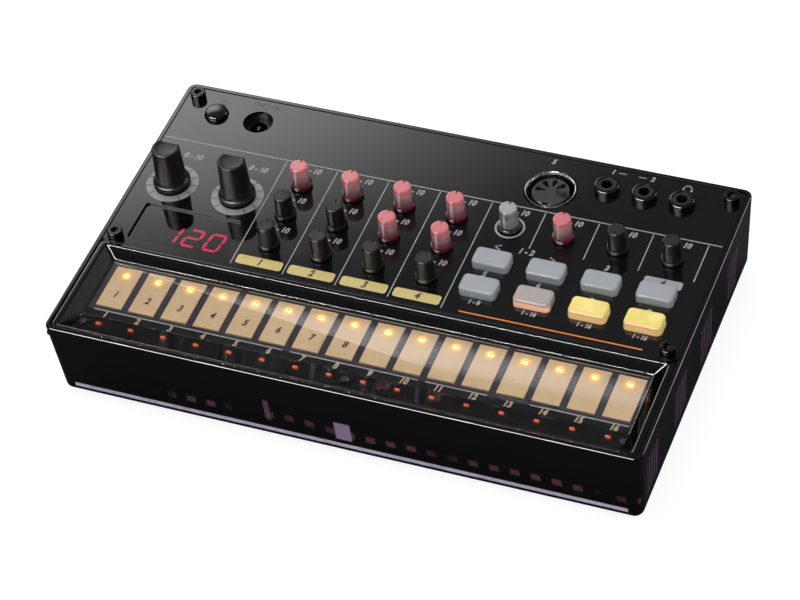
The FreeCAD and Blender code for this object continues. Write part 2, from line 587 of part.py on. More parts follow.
def make_power_button():
    body = body_at("-power_x", "power_y", KEY_FLANGE_FOOT)
    tall = "(%s + power_height - %s)" % (PANEL_TOP, KEY_FLANGE_FOOT)
    stem = "(%s - %s - switch_body - switch_button_height - key_travel - end_gap)" % (
        KEY_FLANGE_FOOT, REAR_BOARD_TOP)
    profile = outline(plane_sketch(body, "XZ_Plane"), [
        ("0", "-" + stem), ("power_stem_radius", "-" + stem), ("power_stem_radius", "0"),
        ("power_radius + key_flange", "0"), ("power_radius + key_flange", "key_flange_height"),
        ("power_radius", "key_flange_height"), ("power_radius", "%s - power_dome" % tall),
        ("power_radius * 0.86", "%s - power_dome * 0.4" % tall), ("power_radius * 0.5", "%s - power_dome * 0.1" % tall),
        ("0", tall)])
    body.Tip = revolve(body, profile)
    hand_in("power_button", body)


def make_switches():
    switches = []
    places = [(x, y, MAIN_BOARD_TOP) for x, y in KEYS.values()] + [("-power_x", "power_y", REAR_BOARD_TOP)]
    for x, y, level in places:
        housing = box(x, y, level, "switch_width", "switch_width", "switch_body")
        button = cylinder(x, y, "%s + switch_body / 2" % level, "switch_button_radius",
                          "switch_body / 2 + switch_button_height")
        switches.append(fuse([housing, button]))
    hand_in("key_switches", group(switches))


def make_din_socket():
    base = REAR_BOARD_TOP
    top = "(%s + din_ring_rise)" % PANEL_TOP
    inner = "(din_ring_radius - din_ring_wall)"
    tube = cut(cylinder("din_x", "din_y", base, "din_ring_radius", "%s - %s" % (top, base)),
               [cylinder("din_x", "din_y", "%s - 1" % base, inner, "%s - %s + 2" % (top, base))])
    hand_in("din_shell", tube)
    insert_top = "(%s - din_insert_drop)" % top
    seat = cylinder("din_x", "din_y", base, "%s - shaft_fit" % inner, "din_base_height")
    core = cylinder("din_x", "din_y", base, "din_insert_radius", "%s - %s" % (insert_top, base))
    holes = [box("din_x", "din_y - din_insert_radius", "%s - din_pin_depth" % insert_top, "din_key_width",
                 "2 * din_key_depth", "din_pin_depth + 1")]
    for n in range(5):
        angle = "(%d * 45deg)" % n
        holes.append(cylinder("din_x + din_pin_circle * cos%s" % angle, "din_y + din_pin_circle * sin%s" % angle,
                              "%s - din_pin_depth" % insert_top, "din_pin_radius", "din_pin_depth + 1"))
    hand_in("din_insert", cut(fuse([seat, core]), holes))


def make_jacks():
    """Three headphone-size sockets with a black ring on the panel, and the power inlet."""
    top = "(%s + jack_rise)" % PANEL_TOP
    rings = []
    for node, x in JACKS.items():
        housing = box(x, "jack_y", REAR_BOARD_TOP, "jack_body_width", "jack_body_width", "jack_depth")
        bushing = cylinder(x, "jack_y", PANEL_UNDER + " - 1", "jack_bushing_radius", "%s - %s + 1" % (top, PANEL_UNDER))
        bore = cylinder(x, "jack_y", "%s + jack_end" % REAR_BOARD_TOP, "jack_bore_radius",
                        "%s - %s" % (top, REAR_BOARD_TOP))
        hand_in(node, cut(fuse([housing, bushing]), [bore]))
        doc.recompute()
        level = value("%s + ring_height" % PANEL_TOP)
        ring = rounded(cylinder(x, "jack_y", PANEL_TOP, "ring_radius", "ring_height"), "ring_round",
                       at_height(level))
        rings.append(cut(ring, [cylinder(x, "jack_y", "%s - 1" % PANEL_TOP, "jack_bushing_radius + ring_fit",
                                         "ring_height + 2")]))
    hand_in("jack_rings", group(rings))
    housing = box("-dc_x", "dc_y", REAR_BOARD_TOP, "dc_body_width", "dc_body_width", "jack_depth")
    mouth = [cylinder("-dc_x", "dc_y", "%s - dc_depth" % PANEL_UNDER, "dc_bore_radius", "dc_depth + 1"),
             cylinder("-dc_x", "dc_y", "%s - dc_mouth_depth" % PANEL_UNDER, "dc_mouth_radius", "dc_mouth_depth + 1")]
    hand_in("power_inlet", cut(housing, mouth))
    pin = rounded(cylinder("-dc_x", "dc_y", "%s - dc_depth" % PANEL_UNDER, "dc_pin_radius", "dc_depth - 0.5"),
                  "dc_pin_radius * 0.5", lambda edge: at_height(value("%s - 0.5" % PANEL_UNDER))(edge))
    hand_in("power_inlet_pin", pin)


def make_display():
    """The smoked window in its opening and the numeric module on the board below."""
    x = "(-display_left + display_width / 2)"
    y = "(display_rear - display_depth / 2)"
    pane = rounded(box(x, y, PANEL_UNDER + " - display_lip_thickness / 2", "display_width - 2 * display_fit",
                       "display_depth - 2 * display_fit",
                       "panel_thickness - display_recess + display_lip_thickness / 2"),
                   "display_corner - display_fit", upright)
    lip = box(x, y, "%s - display_lip_thickness" % PANEL_UNDER, "display_width + 2 * display_lip",
              "display_depth + 2 * display_lip", "display_lip_thickness")
    hand_in("display_window", fuse([pane, lip]))
    hand_in("display_module", box(x, y, MAIN_BOARD_TOP, "display_width - 2 * display_module_side",
                                  "display_depth - 2 * display_module_side", "display_module_height"))


def make_batteries():
    cells = []
    contacts = []
    for column in range(2):
        for rank in range(3):
            x = "(bay_x + (%d - 0.5) * %s)" % (column, CELL_LENGTH)
            y = "(bay_y + (%d - 1) * %s)" % (rank, BATTERY_PITCH)
            turn = 1 if rank % 2 == 0 else -1
            start = "(%s - %d * (battery_length + battery_nub_length) / 2)" % (x, turn)
            spring_room = "(contact_room - contact_thickness - 0.3)"
            can = cylinder("0", "0", "0", "battery_radius", "battery_length")
            nub = cylinder("0", "0", "0", "battery_nub_radius", "battery_nub_length + 1")
            spring = cone("0", "0", "0", "spring_radius", "spring_radius * 0.7", "%s - 0.3" % spring_room)
            for item, along in ((can, start), (nub, "%s + %d * (battery_length - 1)" % (start, turn)),
                                (spring, "%s - %d * %s" % (start, turn, spring_room))):
                item.Placement = FreeCAD.Placement(Vector(0, 0, 0), FreeCAD.Rotation(Vector(0, 1, 0), 90 * turn))
                locate(item, along, y, BATTERY_AXIS)
            cells.append(fuse([can, nub]))
            contacts.append(spring)
    hand_in("batteries", group(cells))
    plates = []
    for x, count in (("(bay_x - %s / 2 + contact_thickness / 2)" % BAY_LENGTH, 1),
                     ("(bay_x + %s / 2 - contact_thickness / 2)" % BAY_LENGTH, 1)):
        plates.append(box(x, "bay_y", "%s + cover_gap" % CASE_FLOOR, "contact_thickness",
                          "%s - 2 * battery_gap" % BAY_DEPTH, "1.6 * battery_radius"))
    plates.append(box("bay_x", "bay_y", "%s + cover_gap" % CASE_FLOOR, "contact_thickness",
                      "%s - 2 * battery_gap" % BAY_DEPTH, "1.6 * battery_radius"))
    hand_in("battery_contacts", group(plates + contacts))


def make_cover():
    """The battery cover: a flush plate that rolls on its round front edge, with two hook tabs and grip grooves."""
    plate = box("bay_x", "bay_y + wall / 4", CASE_FOOT, COVER_LENGTH, "%s - wall / 2" % COVER_DEPTH, "wall")
    nose = cylinder("0", "0", "0", "wall / 2", COVER_LENGTH)
    nose.Placement = FreeCAD.Placement(Vector(0, 0, 0), FreeCAD.Rotation(Vector(0, 1, 0), 90))
    locate(nose, "bay_x - %s / 2" % COVER_LENGTH, "%s + wall / 2" % COVER_FRONT, "%s + wall / 2" % CASE_FOOT)
    pieces = [plate, nose]
    for x in COVER_TABS:
        pieces.append(box(x, "%s + 0.5" % COVER_FRONT, "foot_height + wall / 2", "cover_tab_width", "1",
                          "wall / 2 + cover_gap + cover_tab_thickness"))
        pieces.append(box(x, "%s - cover_tab_reach / 2 + 0.5" % COVER_FRONT, "%s + cover_gap" % CASE_FLOOR,
                          "cover_tab_width", "cover_tab_reach + 1", "cover_tab_thickness"))
    grooves = []
    for n in range(int(SIZES["grip_ribs"])):
        grooves.append(box("bay_x", "bay_y + %s / 2 - grip_setback - %d * grip_pitch" % (COVER_DEPTH, n),
                           "foot_height - grip_depth", "grip_width", "grip_pitch / 2", "2 * grip_depth"))
    hand_in("battery_cover", cut(fuse(pieces), grooves))


def make_speaker():
    basket = cylinder("speaker_x", "speaker_y", CASE_FLOOR, "speaker_radius", "2")
    bowl = cone("speaker_x", "speaker_y", "%s + 2" % CASE_FLOOR, "speaker_radius - 1.5", "magnet_radius",
                "speaker_depth - magnet_height - 2")
    magnet = cylinder("speaker_x", "speaker_y", "%s + speaker_depth - magnet_height" % CASE_FLOOR,
                      "magnet_radius + 0.5", "magnet_height")
    mouth = cylinder("speaker_x", "speaker_y", "%s - 0.5" % CASE_FLOOR, "cone_radius + 0.3", "1.1")
    hollow = cone("speaker_x", "speaker_y", "%s + 0.6" % CASE_FLOOR, "cone_radius + 0.3", "magnet_radius * 0.5 + 0.4",
                  "3.2")
    hand_in("speaker_frame", cut(fuse([basket, bowl, magnet]), [mouth, hollow]))
    skin = cut(cone("speaker_x", "speaker_y", "%s + 0.4" % CASE_FLOOR, "cone_radius", "magnet_radius * 0.5", "2.6"),
               [cone("speaker_x", "speaker_y", "%s + 0.3" % CASE_FLOOR, "cone_radius - 0.8", "magnet_radius * 0.3", "2")])
    hand_in("speaker_cone", skin)


def make_screws_and_feet():
    screws = []
    for x, y in PANEL_SCREWS:
        head = rounded(cylinder(x, y, PANEL_TOP, "screw_head_radius", "screw_head_height"), "rim_round / 2",
                       lambda edge: at_height(value("%s + screw_head_height" % PANEL_TOP))(edge))
        shank = cylinder(x, y, "%s - screw_length + 0.5" % PANEL_UNDER, "screw_radius",
                         "%s - %s + screw_length" % (PANEL_TOP, PANEL_UNDER))
        hexagon = doc.addObject("Part::Prism", "hexagon")
        hexagon.Polygon = 6
        bind(hexagon, "Circumradius", "hex_socket_radius")
        bind(hexagon, "Height", "hex_socket_depth + 1")
        locate(hexagon, x, y, "%s + screw_head_height - hex_socket_depth" % PANEL_TOP)
        screws.append(cut(fuse([head, shank]), [hexagon]))
    hand_in("panel_screws", group(screws))
    feet = []
    for x, y in FEET:
        feet.append(rounded(cylinder(x, y, "0", "foot_radius", "foot_height + foot_recess"), "foot_height * 0.3",
                            at_height(0.0)))
    hand_in("rubber_feet", group(feet))


make_case()
make_panel()
make_window()
make_touch_board()
make_boards()
for knob_name, (knob_x, knob_y) in SMALL_KNOBS.items():
    make_small_knob(knob_name, knob_x, knob_y)
for dial_side, dial_x in DIALS.items():
    make_dial(dial_side, dial_x)
make_pots()
for key_name, (key_x, key_y) in KEYS.items():
    make_key(key_name, key_x, key_y)
make_power_button()
make_switches()
make_din_socket()
make_jacks()
make_display()
make_batteries()
make_cover()
make_speaker()
make_screws_and_feet()

doc.recompute()
faulty = [item.Name for item in doc.Objects if "Invalid" in item.State or "Error" in item.State]
if faulty:
    raise RuntimeError("these did not build: " + ", ".join(faulty))
for node, item in HANDED_IN.items():
    if item.Shape.isNull() or not item.Shape.isValid():
        raise RuntimeError(node + " has no sound shape")
os.makedirs("parts", exist_ok=True)
for node, item in HANDED_IN.items():
    item.Shape.exportStep("parts/%s.step" % node)
print(len(HANDED_IN), "pieces written")
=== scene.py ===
import math

import bpy
from mathutils import Matrix, Vector


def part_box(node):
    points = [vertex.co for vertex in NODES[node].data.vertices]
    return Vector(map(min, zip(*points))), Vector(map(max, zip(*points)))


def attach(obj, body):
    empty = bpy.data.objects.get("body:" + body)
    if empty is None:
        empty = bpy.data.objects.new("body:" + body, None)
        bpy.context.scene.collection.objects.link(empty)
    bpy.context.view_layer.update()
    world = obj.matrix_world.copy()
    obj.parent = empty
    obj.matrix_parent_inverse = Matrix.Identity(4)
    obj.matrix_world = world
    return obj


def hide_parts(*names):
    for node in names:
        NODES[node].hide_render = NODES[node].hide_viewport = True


MM = 0.001

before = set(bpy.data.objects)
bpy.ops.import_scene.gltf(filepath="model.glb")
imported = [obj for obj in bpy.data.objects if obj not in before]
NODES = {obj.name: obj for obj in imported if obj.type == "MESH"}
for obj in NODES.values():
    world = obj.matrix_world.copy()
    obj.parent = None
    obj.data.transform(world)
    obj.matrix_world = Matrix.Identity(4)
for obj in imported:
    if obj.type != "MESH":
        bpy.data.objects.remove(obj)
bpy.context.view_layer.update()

# Heights and places, in millimetres, that follow the CAD
PANEL_TOP = 30.1
RIM = 30.4
PAD_TOP = 24.5
BOARD_TOP = 23.9
DISPLAY_TOP = 26.7
PRINT_LIFT = 0.03
OVERPRINT_LIFT = 0.02
PAD_COUNT = 16
PAD_PITCH = 11.05
PAD_LAMP_Y = -26.1
FRONT_LAMP_Y = -48.0
LIT_KNOBS = ("knob_a1", "knob_b1", "knob_c1", "knob_d1", "knob_c2", "knob_d2", "tempo_knob")
KNOBS = [row + str(n) for row in ("knob_a", "knob_b", "knob_c", "knob_d") for n in (1, 2, 3)]
KNOBS += ["speed_knob", "tempo_knob", "level_knob", "volume_knob"]


def srgb(red, green, blue):
    """A colour as it looks, 0 to 255, turned into the linear values that shaders take."""
    out = []
    for c in (red, green, blue):
        c /= 255
        out.append(c / 12.92 if c <= 0.04045 else ((c + 0.055) / 1.055) ** 2.4)
    return (out[0], out[1], out[2], 1.0)


class Finish:
    """A Principled material with short calls that add its nodes."""

    def __init__(self, name, colour, roughness=0.4, **sockets):
        self.material = bpy.data.materials.new(name)
        self.material.use_nodes = True
        self.tree = self.material.node_tree
        self.shader = self.tree.nodes["Principled BSDF"]
        self.shader.inputs["Base Color"].default_value = srgb(*colour)
        self.shader.inputs["Roughness"].default_value = roughness
        for socket, amount in sockets.items():
            self.shader.inputs[socket.replace("_", " ")].default_value = amount
        self.axes = None

    def node(self, kind, **settings):
        item = self.tree.nodes.new(kind)
        for key, amount in settings.items():
            setattr(item, key, amount)
        return item

    def feed(self, socket, source):
        if isinstance(source, bpy.types.NodeSocket):
            self.tree.links.new(source, socket)
        else:
            socket.default_value = source

    def math(self, operation, *sources):
        item = self.node("ShaderNodeMath", operation=operation)
        for socket, source in zip(item.inputs, sources):
            self.feed(socket, source)
        return item.outputs[0]

    def product(self, first, *others):
        """Two or more sockets or numbers, multiplied."""
        for source in others:
            first = self.math("MULTIPLY", first, source)
        return first

    def repeated(self, source, pitch):
        """Runs from 0 to 1 over each pitch of the source."""
        return self.math("FRACT", self.product(source, 1 / pitch))

    def place(self):
        """Object coordinates in millimetres."""
        if self.axes is None:
            coords = self.node("ShaderNodeTexCoord").outputs["Object"]
            scale = self.node("ShaderNodeVectorMath", operation="SCALE")
            self.tree.links.new(coords, scale.inputs[0])
            scale.inputs["Scale"].default_value = 1000.0
            split = self.node("ShaderNodeSeparateXYZ")
            self.tree.links.new(scale.outputs[0], split.inputs[0])
            self.vector = scale.outputs[0]
            self.axes = split.outputs
        return self.axes

    def noise(self, scale, detail=3.0):
        self.place()
        item = self.node("ShaderNodeTexNoise")
        item.inputs["Scale"].default_value = scale
        item.inputs["Detail"].default_value = detail
        self.tree.links.new(self.vector, item.inputs["Vector"])
        return item.outputs["Fac"]

    def between(self, source, low, high, soft=0.05):
        """1 inside low..high, 0 outside, with soft edges."""
        rise = self.ramp(source, low - soft, low + soft)
        fall = self.ramp(source, high - soft, high + soft)
        return self.math("SUBTRACT", rise, fall)

    def ramp(self, source, low, high, start=0.0, end=1.0):
        item = self.node("ShaderNodeMapRange", interpolation_type="SMOOTHSTEP")
        self.feed(item.inputs["Value"], source)
        item.inputs["From Min"].default_value = low
        item.inputs["From Max"].default_value = high
        item.inputs["To Min"].default_value = start
        item.inputs["To Max"].default_value = end
        return item.outputs["Result"]

    def mix(self, factor, first, second):
        item = self.node("ShaderNodeMix", data_type="RGBA")
        self.feed(item.inputs[0], factor)
        for index, source in ((6, first), (7, second)):
            self.feed(item.inputs[index], srgb(*source) if isinstance(source, tuple) else source)
        return item.outputs[2]

    def colour(self, source):
        self.tree.links.new(source, self.shader.inputs["Base Color"])

    def rough(self, source):
        self.tree.links.new(source, self.shader.inputs["Roughness"])

    def glow(self, source, strength):
        """Emission: source is a colour socket or a colour, strength a number or a socket."""
        colour = srgb(*source) if isinstance(source, tuple) else source
        self.feed(self.shader.inputs["Emission Color"], colour)
        self.feed(self.shader.inputs["Emission Strength"], strength)

    def bump(self, height, distance=0.02, strength=0.3):
        item = self.node("ShaderNodeBump")
        item.inputs["Strength"].default_value = strength
        item.inputs["Distance"].default_value = distance * MM
        self.tree.links.new(height, item.inputs["Height"])
        self.tree.links.new(item.outputs["Normal"], self.shader.inputs["Normal"])

    def grain(self, scale=6.0, distance=0.02, strength=0.3, spread=0.06):
        """Fine moulded texture, with the roughness wandering a little."""
        fine = self.noise(scale)
        self.bump(fine, distance, strength)
        base = self.shader.inputs["Roughness"].default_value
        self.rough(self.ramp(self.noise(0.15), 0.3, 0.7, max(base - spread, 0.02), base + spread))
        return self

    def lamp_distance(self, lamp_y):
        """Millimetres from the nearest lamp of a row of sixteen."""
        x, y = self.place()[0], self.place()[1]
        along = self.product(self.math("SUBTRACT", self.repeated(x, PAD_PITCH), 0.5), PAD_PITCH)
        across = self.math("SUBTRACT", y, lamp_y)
        squares = self.math("ADD", self.math("POWER", along, 2.0), self.math("POWER", across, 2.0))
        return self.math("SQRT", squares)


def moulded(name, colour, roughness, **sockets):
    finish = Finish(name, colour, roughness, **sockets)
    return finish.grain().material


def make_case_plastic():
    """Smoked plastic: what lies behind the front and the right wall shows through as dim tints, which are painted
    light of the inner ribs lit from below.
    """
    black = (9, 8, 9)
    finish = Finish("case_plastic", black, 0.05)
    x, y, z = finish.place()
    front = finish.ramp(y, -55.4, -54.9, 1.0, 0.0)
    right = finish.ramp(x, 93.9, 94.4)
    level = finish.math("ADD", z, finish.product(finish.noise(0.03, 0.0), 6.0))
    # painted light: the bars, block, streak and slats are inner parts lit from below, seen through the wall and
    # painted into the colour
    bars = finish.product(finish.between(finish.repeated(x, 6.6), 0.28, 0.72, 0.07),
                          finish.between(level, 12.4, 15.2, 0.4),
                          finish.ramp(finish.noise(0.05, 1.0), 0.36, 0.6), front)
    block = finish.product(finish.between(x, -1.6, 3.6, 0.3), finish.between(z, 7.6, 15.5, 0.4), front)
    streak = finish.product(finish.between(x, -24.6, -22.8, 0.3), finish.between(z, 9.5, 18.5, 0.8), front)
    slats = finish.product(finish.between(finish.repeated(y, 1 / 0.42), 0.25, 0.6, 0.06),
                           finish.between(z, 7.0, 23.0, 1.0),
                           finish.between(finish.repeated(y, 27.0), 0.1, 0.52, 0.02), right)
    # painted light: a pale band of light coming in under the front wall
    strip = finish.product(finish.between(z, 4.1, 5.7, 0.15), finish.between(x, -90.5, 91.0, 0.3),
                           finish.ramp(finish.noise(0.3), 0.3, 0.6, 0.7, 1.0), front)
    painted_glow = black
    for shown, share, glow_colour in ((bars, 0.8, (104, 66, 80)), (block, 0.85, (176, 148, 184)),
                               (streak, 0.7, (120, 88, 104)), (slats, 0.9, (132, 104, 134)),
                               (strip, 1.0, (226, 212, 236))):
        painted_glow = finish.mix(finish.product(shown, share), painted_glow, glow_colour)
    finish.colour(painted_glow)
    return finish.grain(5.0, 0.003, 0.06, 0.02).material


def make_panel_plastic():
    finish = Finish("panel_plastic", (12, 12, 14), 0.05)
    speck = finish.ramp(finish.noise(0.6), 0.3, 0.8)
    finish.colour(finish.mix(speck, (11, 11, 13), (15, 15, 17)))
    finish.bump(finish.noise(2.2, 2.0), 0.004, 0.06)
    finish.rough(finish.ramp(finish.noise(0.06), 0.35, 0.7, 0.04, 0.08))
    return finish.material


def make_clear_window():
    """Clear over the pads and in front of them; dark where its sides slope up over the black edge beneath."""
    finish = Finish("clear_window", (232, 232, 236), 0.02, IOR=1.49, Transmission_Weight=1.0)
    x, y = finish.place()[0], finish.place()[1]
    ends = finish.ramp(finish.math("ABSOLUTE", x), 88.9, 89.3)
    dark = finish.math("MAXIMUM", ends, finish.ramp(y, -21.7, -21.3))
    finish.colour(finish.mix(dark, (236, 236, 240), (46, 45, 50)))
    finish.bump(finish.noise(0.2, 1.0), 0.002, 0.02)
    return finish.material


def make_smoked_window():
    finish = Finish("smoked_window", (112, 84, 98), 0.05, IOR=1.49, Transmission_Weight=1.0)
    finish.bump(finish.noise(0.4, 1.0), 0.003, 0.05)
    return finish.material


def make_board_mask():
    """Grey between the pads and black in front of them, with painted lamp light round each small lamp: a warm ring
    and a dim glow.
    """
    finish = Finish("board_mask", (66, 62, 68), 0.7, Specular_IOR_Level=0.12)
    y = finish.place()[1]
    away = finish.lamp_distance(FRONT_LAMP_Y)
    ink = finish.mix(finish.ramp(y, -41.3, -41.0), (12, 11, 12), (60, 56, 61))
    # painted lamp light: a warm ring in the colour and a dim glow on the board round each front lamp
    ring = finish.between(away, 1.1, 1.8, 0.15)
    finish.colour(finish.mix(ring, ink, (30, 18, 12)))
    halo = finish.ramp(away, 0.3, 1.2, 1.0, 0.0)
    finish.glow((190, 76, 20), finish.product(halo, 0.4))
    return finish.grain(4.0).material


def make_pad_beige():
    finish = Finish("pad_beige", (224, 196, 156), 0.6, Specular_IOR_Level=0.2)
    away = finish.lamp_distance(PAD_LAMP_Y)
    # painted lamp light: each pad turns warmer in colour and glows round the lamp beneath it
    lamp_light_pool = finish.ramp(away, 0.9, 3.2, 1.0, 0.0)
    lamp_light_core = finish.ramp(away, 0.9, 1.6, 1.0, 0.0)
    patch = finish.ramp(finish.noise(0.8), 0.2, 0.8)
    base = finish.mix(patch, (220, 189, 142), (228, 198, 153))
    finish.colour(finish.mix(finish.product(lamp_light_pool, 0.5), base, (240, 190, 90)))
    finish.glow(finish.mix(lamp_light_core, (255, 150, 30), (255, 210, 110)),
                finish.math("ADD", finish.product(lamp_light_pool, 0.35), finish.product(lamp_light_core, 1.0)))
    return finish.grain(5.0).material


def make_lamp(name, colour, strength):
    finish = Finish(name, colour, 0.3)
    finish.glow(colour, finish.ramp(finish.noise(1.5), 0.2, 0.8, strength * 0.85, strength * 1.15))
    return finish.material


def make_lit_knob():
    finish = Finish("lit_knob", (150, 100, 104), 0.2, Coat_Weight=0.3)
    z = finish.place()[2]
    frost = finish.ramp(finish.noise(0.5, 1.0), 0.3, 0.7)
    barrel = finish.mix(frost, (142, 108, 112), (168, 138, 141))
    # painted LED light: the barrel darkens and reddens toward the foot, the collar is deep red, partly its own red
    # plastic and partly painted light, and the top is pale pink and glows more with height
    barrel = finish.mix(finish.ramp(z, 32.0, 36.0), (112, 66, 72), barrel)
    low = finish.mix(finish.ramp(z, 31.6, 32.2), (70, 8, 20), barrel)
    frost_and_led_light = finish.mix(finish.ramp(z, 36.4, 38.0), low, (178, 106, 110))
    finish.colour(frost_and_led_light)
    finish.glow(finish.mix(finish.ramp(z, 34.0, 37.0), (90, 30, 38), (235, 116, 120)),
                finish.ramp(z, 35.0, 39.0, 0.05, 0.2))
    finish.bump(finish.noise(3.0), 0.008, 0.15)
    return finish.material


def make_clear_knob():
    finish = Finish("clear_knob", (150, 150, 154), 0.15, IOR=1.49, Transmission_Weight=0.3, Coat_Weight=0.4)
    frost = finish.ramp(finish.noise(0.6, 1.0), 0.3, 0.7)
    z = finish.place()[2]
    body = finish.mix(frost, (138, 138, 141), (172, 172, 175))
    # painted light and shade: the body turns lighter at the top and dark at the foot
    body = finish.mix(finish.ramp(z, 37.4, 38.6), body, (190, 190, 192))
    finish.colour(finish.mix(finish.ramp(z, 31.6, 33.0), (52, 52, 54), body))
    finish.bump(finish.noise(3.0), 0.01, 0.2)
    return finish.material


def make_lit_key():
    finish = Finish("lit_key", (232, 206, 120), 0.42)
    y, z = finish.place()[1], finish.place()[2]
    cloud = finish.ramp(finish.noise(0.22, 1.0), 0.3, 0.7)
    body = finish.mix(cloud, (226, 204, 112), (238, 220, 140))
    # painted LED light: the front face turns warm peach, and the key glows, more at the foot than at the top
    front = finish.ramp(y, -8.7, -7.6, 1.0, 0.0)
    body = finish.mix(finish.product(front, 0.8), body, (242, 188, 132))
    finish.colour(body)
    finish.glow(body, finish.ramp(z, 30.4, 33.0, 0.3, 0.16))
    finish.bump(finish.noise(5.0), 0.01, 0.15)
    return finish.material


def make_step_key():
    finish = Finish("step_key", (168, 158, 156), 0.45)
    y, z = finish.place()[1], finish.place()[2]
    # painted LED light: the lower front turns peach and glows
    front = finish.product(finish.ramp(y, -8.6, -6.8, 1.0, 0.0), finish.ramp(z, 31.2, 32.8, 1.0, 0.0))
    finish.colour(finish.mix(front, (172, 162, 160), (246, 196, 172)))
    finish.glow((255, 180, 146), finish.product(front, 0.32))
    finish.bump(finish.noise(5.0), 0.02, 0.2)
    return finish.material


def make_speaker_paper():
    finish = Finish("speaker_paper", (40, 38, 36), 0.9)
    finish.bump(finish.noise(3.0, 6.0), 0.1, 0.6)
    return finish.material


def make_battery_skin():
    finish = Finish("battery_skin", (190, 190, 194), 0.3, Metallic=0.6)
    x = finish.place()[0]
    band = finish.ramp(finish.repeated(x, 50.4), 0.3, 0.32)
    finish.colour(finish.mix(band, (40, 52, 86), (196, 196, 200)))
    return finish.grain(3.0).material


def metal(name, colour, roughness):
    finish = Finish(name, colour, roughness, Metallic=1.0)
    return finish.grain(3.0, 0.01, 0.2, 0.05).material


PAINT = {
    "case": make_case_plastic(),
    "panel": make_panel_plastic(),
    "window": make_clear_window(),
    "smoked": make_smoked_window(),
    "board": make_board_mask(),
    "pads": make_pad_beige(),
    "pad_lamp": make_lamp("pad_lamp", (255, 196, 96), 6.0),
    "front_lamp": make_lamp("front_lamp", (206, 84, 26), 0.65),
    "digit": make_lamp("digit_red", (250, 50, 104), 4.0),
    "lit_knob": make_lit_knob(),
    "clear_knob": make_clear_knob(),
    "lit_key": make_lit_key(),
    "step_key": make_step_key(),
    "battery": make_battery_skin(),
    "paper": make_speaker_paper(),
}
for key, name, colour, roughness in (
        ("screw", "screw_black", (60, 58, 58), 0.22), ("dull", "board_screw", (58, 56, 60), 0.5),
        ("steel", "screw_steel", (170, 170, 172), 0.3), ("pot", "pot_metal", (150, 150, 154), 0.35),
        ("shaft", "shaft_metal", (176, 170, 150), 0.3), ("shell", "socket_metal", (196, 192, 192), 0.22)):
    PAINT[key] = metal(name, colour, roughness)
for key, name, colour, roughness in (
        ("switch", "switch_black", (30, 30, 32), 0.5), ("socket", "socket_black", (12, 12, 13), 0.35),
        ("insert", "insert_grey", (36, 36, 38), 0.4), ("ring", "ring_black", (8, 8, 9), 0.16),
        ("module", "module_black", (14, 11, 13), 0.5), ("rubber", "foot_rubber", (34, 34, 36), 0.8),
        ("button", "button_black", (10, 10, 11), 0.15), ("dial", "dial_black", (10, 10, 11), 0.36),
        ("knob", "knob_black", (8, 8, 8), 0.36), ("key", "grey_key", (158, 162, 168), 0.5),
        ("print", "grey_print", (158, 156, 160), 0.5), ("orange", "orange_print", (226, 128, 40), 0.5),
        ("pill", "yellow_print", (204, 186, 122), 0.5), ("dark", "dark_print", (40, 34, 28), 0.5),
        ("ringprint", "ring_print", (150, 148, 152), 0.5), ("tick", "tick_print", (26, 25, 27), 0.5),
        ("beige", "beige_print", (206, 184, 146), 0.5), ("faint", "faint_print", (84, 84, 88), 0.5),
        ("pale", "pale_print", (196, 190, 186), 0.5), ("unlit", "digit_unlit", (62, 30, 42), 0.5)):
    PAINT[key] = moulded(name, colour, roughness)

CAD_FINISH = {
    "bottom_case": "case", "battery_cover": "case", "top_panel": "panel", "key_window": "window",
    "display_window": "smoked", "touch_board": "board", "main_board": "board", "rear_board": "board",
    "touch_pads": "pads", "pad_lamps": "pad_lamp", "front_lamps": "front_lamp", "panel_screws": "screw",
    "board_screws": "dull", "small_pots": "pot", "large_pots": "pot", "dial_shaft_left": "shaft",
    "dial_shaft_right": "shaft", "key_switches": "switch", "din_shell": "shell", "din_insert": "socket",
    "sync_in_jack": "socket", "sync_out_jack": "socket", "phones_jack": "socket", "jack_rings": "ring",
    "power_inlet": "socket", "power_inlet_pin": "screw", "display_module": "module", "batteries": "battery",
    "battery_contacts": "steel", "speaker_frame": "steel", "speaker_cone": "paper", "rubber_feet": "rubber",
}
for node_name, key in CAD_FINISH.items():
    slots = NODES[node_name].material_slots
    if not slots:
        NODES[node_name].data.materials.append(PAINT[key])
    for slot in slots:
        slot.material = PAINT[key]


